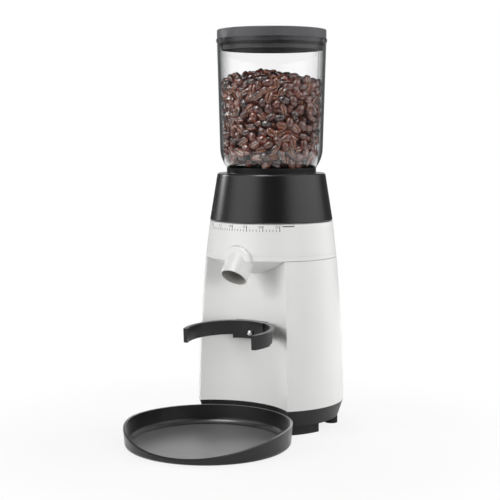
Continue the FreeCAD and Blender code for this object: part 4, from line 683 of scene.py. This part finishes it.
    def lie(self, spot: np.ndarray, rng: np.random.Generator) -> Matrix:
        """Turn and size of one bean: flat against the wall beside it, any way up elsewhere.

        Args:
            spot: Middle of the bean about the axis.
            rng: Seeded source of numbers.

        Returns:
            The bean's turn and scale.
        """
        axis = Vector(rng.normal(size=3)).normalized()
        turn = Matrix.Rotation(rng.uniform(0, 2 * math.pi), 4, axis)
        radius = math.hypot(spot[0], spot[1])
        spin, lean, flip = rng.uniform(-1, 1, 3)
        if radius > self.inner_radius(np.array([spot[2]]))[0] - self.wall_layer:
            outward = Vector((spot[0], spot[1], 0)).normalized()
            facing = outward if flip < self.crease_inward else -outward
            turn = facing.to_track_quat("Z", "Y").to_matrix().to_4x4()
            tilt = Matrix.Rotation(lean * self.lean_range, 4, "X")
            turn = turn @ Matrix.Rotation(spin * math.pi, 4, "Z") @ tilt
        return turn @ Matrix.Scale(1 + self.size_spread * rng.uniform(-1, 1), 4)

    def build(self, shop: Workshop) -> bpy.types.Object:
        """Fill the hopper."""
        self.survey(shop)
        rng = np.random.default_rng(self.seed)
        template, depth = self.template()
        corners = np.array([v.co for v in template.vertices])
        pile = bmesh.new()
        for spot in self.settle(rng):
            turn = self.lie(spot, rng)
            reach = corners @ np.array(turn.to_3x3()).T + spot
            radii = np.hypot(reach[:, 0], reach[:, 1])
            excess = (radii - self.inner_radius(reach[:, 2])).max() + self.skin_gap
            inward = Vector((spot[0], spot[1], 0)).normalized() * max(0.0, float(excess))
            bean = template.copy()
            bean.transform(Matrix.Translation(shop.axis + Vector(spot) - inward) @ turn)
            pile.from_mesh(bean)
            bpy.data.meshes.remove(bean)
        mesh = finished(pile, "roasted_beans", smooth=True)
        roast = mesh.attributes.new("roast", "FLOAT", "POINT")
        roast.data.foreach_set("value", np.repeat(rng.uniform(0, 1, self.count), len(corners)))
        crease = mesh.attributes.new("crease", "FLOAT", "POINT")
        crease.data.foreach_set("value", np.tile(depth, self.count))
        return shop.piece("roasted_beans", mesh, BEAN, "hopper")


@dataclass
class HopperUnit:
    """Clear hopper with its lid and its beans."""

    beans: Beans = field(default_factory=Beans)

    def build(self, shop: Workshop) -> None:
        """Dress the hopper and its lid and fill it."""
        shop.dress(CLEAR_HOPPER, "hopper")
        shop.dress(BLACK_SATIN, "hopper_base")
        shop.dress(LID_GREY, "lid")
        shop.dress(SOFT_RUBBER, "lid_seal")
        self.beans.build(shop)


@dataclass
class GrindScale:
    """Printed scale on the head under the collar: settings from 0 to 25, a number at every fifth."""

    first_angle: float = -36.0
    step_angle: float = 3.0
    settings: int = 25
    numbered: int = 5
    tall: tuple[float, float] = (0.1978, 0.2037)
    short: tuple[float, float] = (0.198, 0.2)
    tall_width: float = 0.65 * MM
    short_width: float = 0.5 * MM
    type_size: float = 3.2 * MM
    type_level: float = 0.2022
    type_shift: float = 2.6
    ink: float = 0.06 * MM
    bar_angles: tuple[float, float] = (41.5, 52.5)
    bar_levels: tuple[float, float] = (0.2023, 0.2033)
    bar_pieces: int = 8

    def patch(self, tree: BVHTree, shop: Workshop, angle: float, level: float) -> Matrix:
        """Frame on the head's surface: X to the right, Y up and Z outwards.

        Args:
            tree: Search tree of the head.
            shop: The workshop.
            angle: Angle from the front in degrees.
            level: Height.

        Returns:
            The frame as a matrix.
        """
        outward = bearing(angle)
        start = shop.axis + outward * RAY_START + Vector((0, 0, level))
        spot, normal, _, _ = tree.ray_cast(start, -outward)
        right = Vector((math.cos(math.radians(angle)), math.sin(math.radians(angle)), 0.0))
        normal = (normal - right * normal.dot(right)).normalized()
        upward = normal.cross(right)
        turn = Matrix((right, upward, normal)).transposed().to_4x4()
        return Matrix.Translation(spot) @ turn

    def build(self, shop: Workshop) -> None:
        """Print the ticks, the numbers and the plain bar beside them."""
        tree = shop.surface("head_shell")
        ticks = bmesh.new()
        numbers = bmesh.new()
        for setting in range(self.settings + 1):
            angle = self.first_angle + setting * self.step_angle
            is_tall = setting % self.numbered == 0
            low, high = self.tall if is_tall else self.short
            width = self.tall_width if is_tall else self.short_width
            size = Matrix.Diagonal((width, high - low, self.ink, 1.0))
            place = self.patch(tree, shop, angle, (low + high) / 2)
            bmesh.ops.create_cube(ticks, size=1.0, matrix=place @ size)
            if is_tall:
                label = text_mesh(str(setting), self.type_size, self.ink)
                label.transform(self.patch(tree, shop, angle - self.type_shift, self.type_level))
                numbers.from_mesh(label)
                bpy.data.meshes.remove(label)
        start, end = self.bar_angles
        low, high = self.bar_levels
        step = (end - start) / self.bar_pieces
        length = 2 * math.tan(math.radians(step / 2)) * (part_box("head_shell")[1].x - shop.axis.x)
        for index in range(self.bar_pieces):
            place = self.patch(tree, shop, start + (index + 0.5) * step, (low + high) / 2)
            size = Matrix.Diagonal((length, high - low, self.ink, 1.0))
            bmesh.ops.create_cube(ticks, size=1.0, matrix=place @ size)
        for name, print_mesh in (("grind_scale_ticks", ticks), ("grind_scale_numbers", numbers)):
            shop.piece(name, finished(print_mesh, name), PRINT_INK, "body")


@dataclass
class GrindHead:
    """Head with the grind collar, the burrs, the outlet chute and the printed scale."""

    scale: GrindScale = field(default_factory=GrindScale)

    def build(self, shop: Workshop) -> None:
        """Dress the head and print its scale."""
        shop.dress(BLACK_SATIN, "grind_collar")
        shop.dress(WHITE_ABS, "head_shell")
        shop.dress(BORE_SHADED_CHUTE, "chute")
        shop.dress(DIE_CAST, "grind_chamber", "burr_carrier")
        shop.dress(TOOL_STEEL, "ring_burr", "cone_burr", "drive_shaft")
        shop.dress(PLATED_STEEL, "burr_nut", "carrier_spring", "chamber_screws", "chute_screws")
        shop.dress(NYLON, "impeller")
        shop.dress(BRONZE, "upper_bush", "lower_bush")
        shop.dress(SOFT_RUBBER, "shaft_seal")
        self.scale.build(shop)


@dataclass
class Drive:
    """Chassis, gear train and motor inside the body."""

    def build(self, shop: Workshop) -> None:
        """Dress the drive."""
        shop.dress(PLATED_STEEL, "chassis_plate", "chassis_posts", "chassis_screws", "case_screws",
                   "motor_can", "motor_screws")
        shop.dress(DIE_CAST, "gear_case", "gear_cover", "motor_end_cap")
        shop.dress(TOOL_STEEL, "output_gear", "idler_gear", "idler_pin", "motor_pinion", "motor_shaft",
                   "motor_armature")
        shop.dress(MAGNET, "motor_magnets")
        shop.dress(CARBON, "motor_brushes")


@dataclass
class Housing:
    """White body on its black base, with the rocker switch and the lead's gland at the back."""

    mark_size: float = 4.0 * MM
    mark_depth: float = 0.06 * MM
    mark_shares: tuple[tuple[str, float], ...] = (("I", 0.54), ("O", -0.14))

    def mark_rocker(self, shop: Workshop) -> None:
        """Print the plain line and ring of a switch on the rocker's two halves."""
        tree = shop.surface("rocker")
        low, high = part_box("rocker")
        middle = (low + high) / 2
        marks = bmesh.new()
        for words, share in self.mark_shares:
            level = middle.z + share * (high.z - low.z) / 2
            start = Vector((shop.axis.x, high.y + RAY_START, level))
            spot, normal, _, _ = tree.ray_cast(start, Vector((0, -1, 0)))
            right = Vector((-1, 0, 0))
            upward = normal.cross(right)
            label = text_mesh(words, self.mark_size, self.mark_depth)
            turn = Matrix((right, upward, normal)).transposed().to_4x4()
            label.transform(Matrix.Translation(spot) @ turn)
            marks.from_mesh(label)
            bpy.data.meshes.remove(label)
        shop.piece("rocker_marks", finished(marks, "rocker_marks"), WHITE_INK, "rocker")

    def build(self, shop: Workshop) -> None:
        """Dress the housing and mark its switch."""
        shop.dress(WHITE_ABS, "front_panel", "rear_shell")
        shop.dress(BLACK_TEXTURED, "base_pan", "switch_housing")
        shop.dress(BLACK_SATIN, "rocker")
        shop.dress(SOFT_RUBBER, "feet", "cord_gland")
        shop.dress(PLATED_STEEL, "base_screws", "board_screws")
        shop.dress(SOLDER_MASK, "control_board")
        shop.dress(COMPONENT, "board_components")
        self.mark_rocker(shop)


@dataclass
class Cradle:
    """Fork for the filter holder, with the start button behind it."""

    def build(self, shop: Workshop) -> None:
        """Dress the cradle, the button and its switch."""
        shop.dress(BLACK_TEXTURED, "cradle")
        shop.dress(BLACK_SATIN, "button_bezel")
        shop.dress(CHROME, "start_button")
        shop.dress(PLATED_STEEL, "cradle_screws", "button_spring", "switch_bracket")
        shop.dress(COMPONENT, "microswitch")


@dataclass
class Tray:
    """Loose dish that catches spilt grounds."""

    def build(self, shop: Workshop) -> None:
        """Dress the tray."""
        shop.dress(BLACK_DISH, "tray")


@dataclass(frozen=True)
class Softbox:
    """Soft rectangular lamp that faces the grinder, placed by its angle from the front."""

    name: str
    angle: float
    distance: float
    level: float
    width: float
    height: float
    power: float


@dataclass(frozen=True)
class Glow:
    """Soft bright patch of the surroundings that shiny surfaces mirror, by its angle from the front."""

    angle: float
    elevation: float
    half_width: float
    strength: float

    def middle(self) -> Vector:
        """Direction of the patch's middle."""
        rise = math.radians(self.elevation)
        return bearing(self.angle) * math.cos(rise) + Vector((0, 0, math.sin(rise)))


@dataclass
class Studio:
    """Pale floor, soft lamps, bright world and the photograph's camera."""

    azimuth: float = 31.5
    distance: float = 1.25
    eye_level: float = 0.29645
    pitch: float = 5.57
    yaw: float = 0.98
    lens_mm: float = 90.0
    sensor_mm: float = 36.0
    floor_half: float = 1.2
    floor_colour: str = "#f4f4f3"
    bounce_colour: str = "#b8b8b7"
    aim_level: float = 0.2
    plain_level: float = 0.36
    mirrored_level: float = 0.1
    inside_gain: float = 3.2
    shadow_share: float = 0.18
    shadow_reach: tuple[float, float] = (0.16, 0.34)
    glow_horizon: tuple[float, float] = (-0.05, 0.2)
    glows: tuple[Glow, ...] = (
        Glow(-26.0, 15.0, 44.0, 1.9),
        Glow(-89.0, 15.0, 12.0, 13.0),
        Glow(108.0, 15.0, 56.0, 1.9),
        Glow(211.5, 16.0, 30.0, 1.0),
        Glow(0.0, 80.0, 40.0, 1.5),
        Glow(5.0, 50.0, 17.0, 18.0),
    )
    lamps: tuple[Softbox, ...] = (
        Softbox("left_softbox", -40.0, 1.5, 0.35, 0.8, 1.4, 17.3),
        Softbox("right_softbox", 62.0, 1.6, 0.3, 0.8, 1.0, 12.6),
        Softbox("right_rear_softbox", 150.0, 1.6, 0.5, 1.0, 1.6, 21.5),
        Softbox("left_rear_softbox", -130.0, 1.6, 0.5, 1.0, 1.6, 14.0),
    )

    def add_camera(self, axis: Vector) -> None:
        """Set the camera where the photograph was taken from."""
        camera = bpy.data.cameras.new("photo_camera")
        camera.lens = self.lens_mm
        camera.sensor_width = self.sensor_mm
        thing = bpy.data.objects.new("photo_camera", camera)
        bpy.context.scene.collection.objects.link(thing)
        ahead = -bearing(self.azimuth)
        left = Vector((-ahead.y, ahead.x, 0.0))
        yaw = math.radians(self.yaw)
        pitch = math.radians(self.pitch)
        level = ahead * math.cos(yaw) + left * math.sin(yaw)
        aim = level * math.cos(pitch) - Vector((0, 0, math.sin(pitch)))
        thing.location = axis - ahead * self.distance + Vector((0, 0, self.eye_level))
        thing.rotation_euler = aim.to_track_quat("-Z", "Y").to_euler()
        bpy.context.scene.camera = thing

    def add_lamps(self, axis: Vector) -> None:
        """Hang the softboxes round the grinder."""
        for box in self.lamps:
            lamp = bpy.data.lights.new(box.name, "AREA")
            lamp.shape = "RECTANGLE"
            lamp.size = box.width
            lamp.size_y = box.height
            lamp.energy = box.power
            thing = bpy.data.objects.new(box.name, lamp)
            bpy.context.scene.collection.objects.link(thing)
            thing.location = axis + bearing(box.angle) * box.distance + Vector((0, 0, box.level))
            aim = axis + Vector((0, 0, self.aim_level)) - thing.location
            thing.rotation_euler = aim.to_track_quat("-Z", "Y").to_euler()
            thing.visible_glossy = False
            thing.visible_transmission = False

    def seen_rays(self, tree: bpy.types.NodeTree) -> bpy.types.NodeSocket:
        """Share of rays that show the backdrop: straight from the camera, or through glass alone."""
        path = add_node(tree, "ShaderNodeLightPath")
        shown = add_node(tree, "ShaderNodeMath", {}, {0: path.outputs["Is Camera Ray"],
                                                      1: path.outputs["Is Transmission Ray"]},
                         operation="MAXIMUM")
        turns = add_node(tree, "ShaderNodeMath", {}, {0: path.outputs["Diffuse Depth"],
                                                      1: path.outputs["Glossy Depth"]}, operation="ADD")
        direct = add_node(tree, "ShaderNodeMath", {1: ANY_BOUNCE}, {0: turns.outputs[0]},
                          operation="LESS_THAN")
        return add_node(tree, "ShaderNodeMath", {}, {0: shown.outputs[0], 1: direct.outputs[0]},
                        operation="MULTIPLY").outputs[0]

    def mirrored(self, tree: bpy.types.NodeTree) -> bpy.types.NodeSocket:
        """Brightness of what shiny surfaces mirror: dim, with soft glows above the table."""
        direction = add_node(tree, "ShaderNodeTexCoord").outputs["Generated"]
        height = add_node(tree, "ShaderNodeSeparateXYZ", {}, {0: direction}).outputs["Z"]
        low, high = self.glow_horizon
        above = add_node(tree, "ShaderNodeMapRange", {"From Min": low, "From Max": high}, {"Value": height},
                         interpolation_type="SMOOTHSTEP")
        level = None
        for glow in self.glows:
            near = add_node(tree, "ShaderNodeVectorMath", {1: glow.middle()}, {0: direction},
                            operation="DOT_PRODUCT")
            lobe = add_node(tree, "ShaderNodeMapRange",
                            {"From Min": math.cos(math.radians(glow.half_width)), "To Max": glow.strength},
                            {"Value": near.outputs["Value"]}, interpolation_type="SMOOTHSTEP")
            total = add_node(tree, "ShaderNodeMath", {2: self.mirrored_level},
                             {0: lobe.outputs[0], 1: above.outputs[0]}, operation="MULTIPLY_ADD")
            if level is not None:
                tree.links.new(level, total.inputs[2])
            level = total.outputs[0]
        return level

    def add_world(self) -> None:
        """Light evenly from all round, with a white backdrop and glows for what is shiny.

        The clear hopper stops the lamps' own light, so its beans get more of the surroundings instead.
        """
        world = bpy.data.worlds.new("studio")
        bpy.context.scene.world = world
        world.use_nodes = True
        tree = world.node_tree
        tree.nodes.clear()
        path = add_node(tree, "ShaderNodeLightPath")
        hidden = add_node(tree, "ShaderNodeMix", {2: self.plain_level},
                          {0: path.outputs["Glossy Depth"], 3: self.mirrored(tree)})
        bounced = add_node(tree, "ShaderNodeMath", {1: ANY_BOUNCE}, {0: path.outputs["Diffuse Depth"]},
                           operation="GREATER_THAN")
        inside = add_node(tree, "ShaderNodeMath", {}, {0: path.outputs["Is Transmission Ray"],
                                                       1: bounced.outputs[0]}, operation="MULTIPLY")
        gain = add_node(tree, "ShaderNodeMapRange", {"To Min": 1.0, "To Max": self.inside_gain},
                        {"Value": inside.outputs[0]})
        lit = add_node(tree, "ShaderNodeMath", {}, {0: hidden.outputs[0], 1: gain.outputs[0]},
                       operation="MULTIPLY")
        level = add_node(tree, "ShaderNodeMix", {3: 1.0}, {0: self.seen_rays(tree), 2: lit.outputs[0]})
        light = add_node(tree, "ShaderNodeBackground", {"Color": (1, 1, 1, 1)},
                         {"Strength": level.outputs[0]})
        add_node(tree, "ShaderNodeOutputWorld", links={"Surface": light.outputs[0]})

    def add_floor(self) -> None:
        """Lay the pale floor, which keeps the grinder's shadow and fades to white away from it."""
        floor = bmesh.new()
        bmesh.ops.create_grid(floor, x_segments=1, y_segments=1, size=self.floor_half)
        thing = bpy.data.objects.new("floor", finished(floor, "floor"))
        bpy.context.scene.collection.objects.link(thing)
        material, tree = new_material("pale_studio_paper")
        seen = self.seen_rays(tree)
        tone = add_node(tree, "ShaderNodeMix",
                        {6: linear(self.bounce_colour), 7: linear(self.floor_colour)},
                        {0: seen}, data_type="RGBA")
        paper = add_node(tree, "ShaderNodeBsdfDiffuse", {}, {"Color": tone.outputs[2]})
        glow = add_node(tree, "ShaderNodeEmission", {"Color": (1, 1, 1, 1), "Strength": 1.0})
        away = add_node(tree, "ShaderNodeVectorMath", {1: (0.0, 0.0, 0.0)},
                        {0: add_node(tree, "ShaderNodeTexCoord").outputs["Object"]}, operation="DISTANCE")
        near, far = self.shadow_reach
        fade = add_node(tree, "ShaderNodeMapRange",
                        {"From Min": near, "From Max": far, "To Min": 1 - self.shadow_share, "To Max": 1.0},
                        {"Value": away.outputs["Value"]}, interpolation_type="SMOOTHSTEP")
        share = add_node(tree, "ShaderNodeMath", {}, {0: seen, 1: fade.outputs[0]}, operation="MULTIPLY")
        mix = add_node(tree, "ShaderNodeMixShader", {}, {0: share.outputs[0], 1: paper.outputs[0],
                                                         2: glow.outputs[0]})
        close_material(tree, mix)
        thing.data.materials.append(material)
        thing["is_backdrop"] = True

    def build(self, shop: Workshop) -> None:
        """Set up the studio."""
        bpy.context.scene.view_settings.view_transform = "Standard"
        self.add_camera(shop.axis)
        self.add_lamps(shop.axis)
        self.add_world()
        self.add_floor()


def main() -> None:
    """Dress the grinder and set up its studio."""
    logging.basicConfig(level=logging.INFO, format="%(name)s: %(message)s")
    shop = Workshop()
    for unit in (HopperUnit(), GrindHead(), Drive(), Housing(), Cradle(), Tray(), Studio()):
        unit.build(shop)


if __name__ == "__main__":
    main()
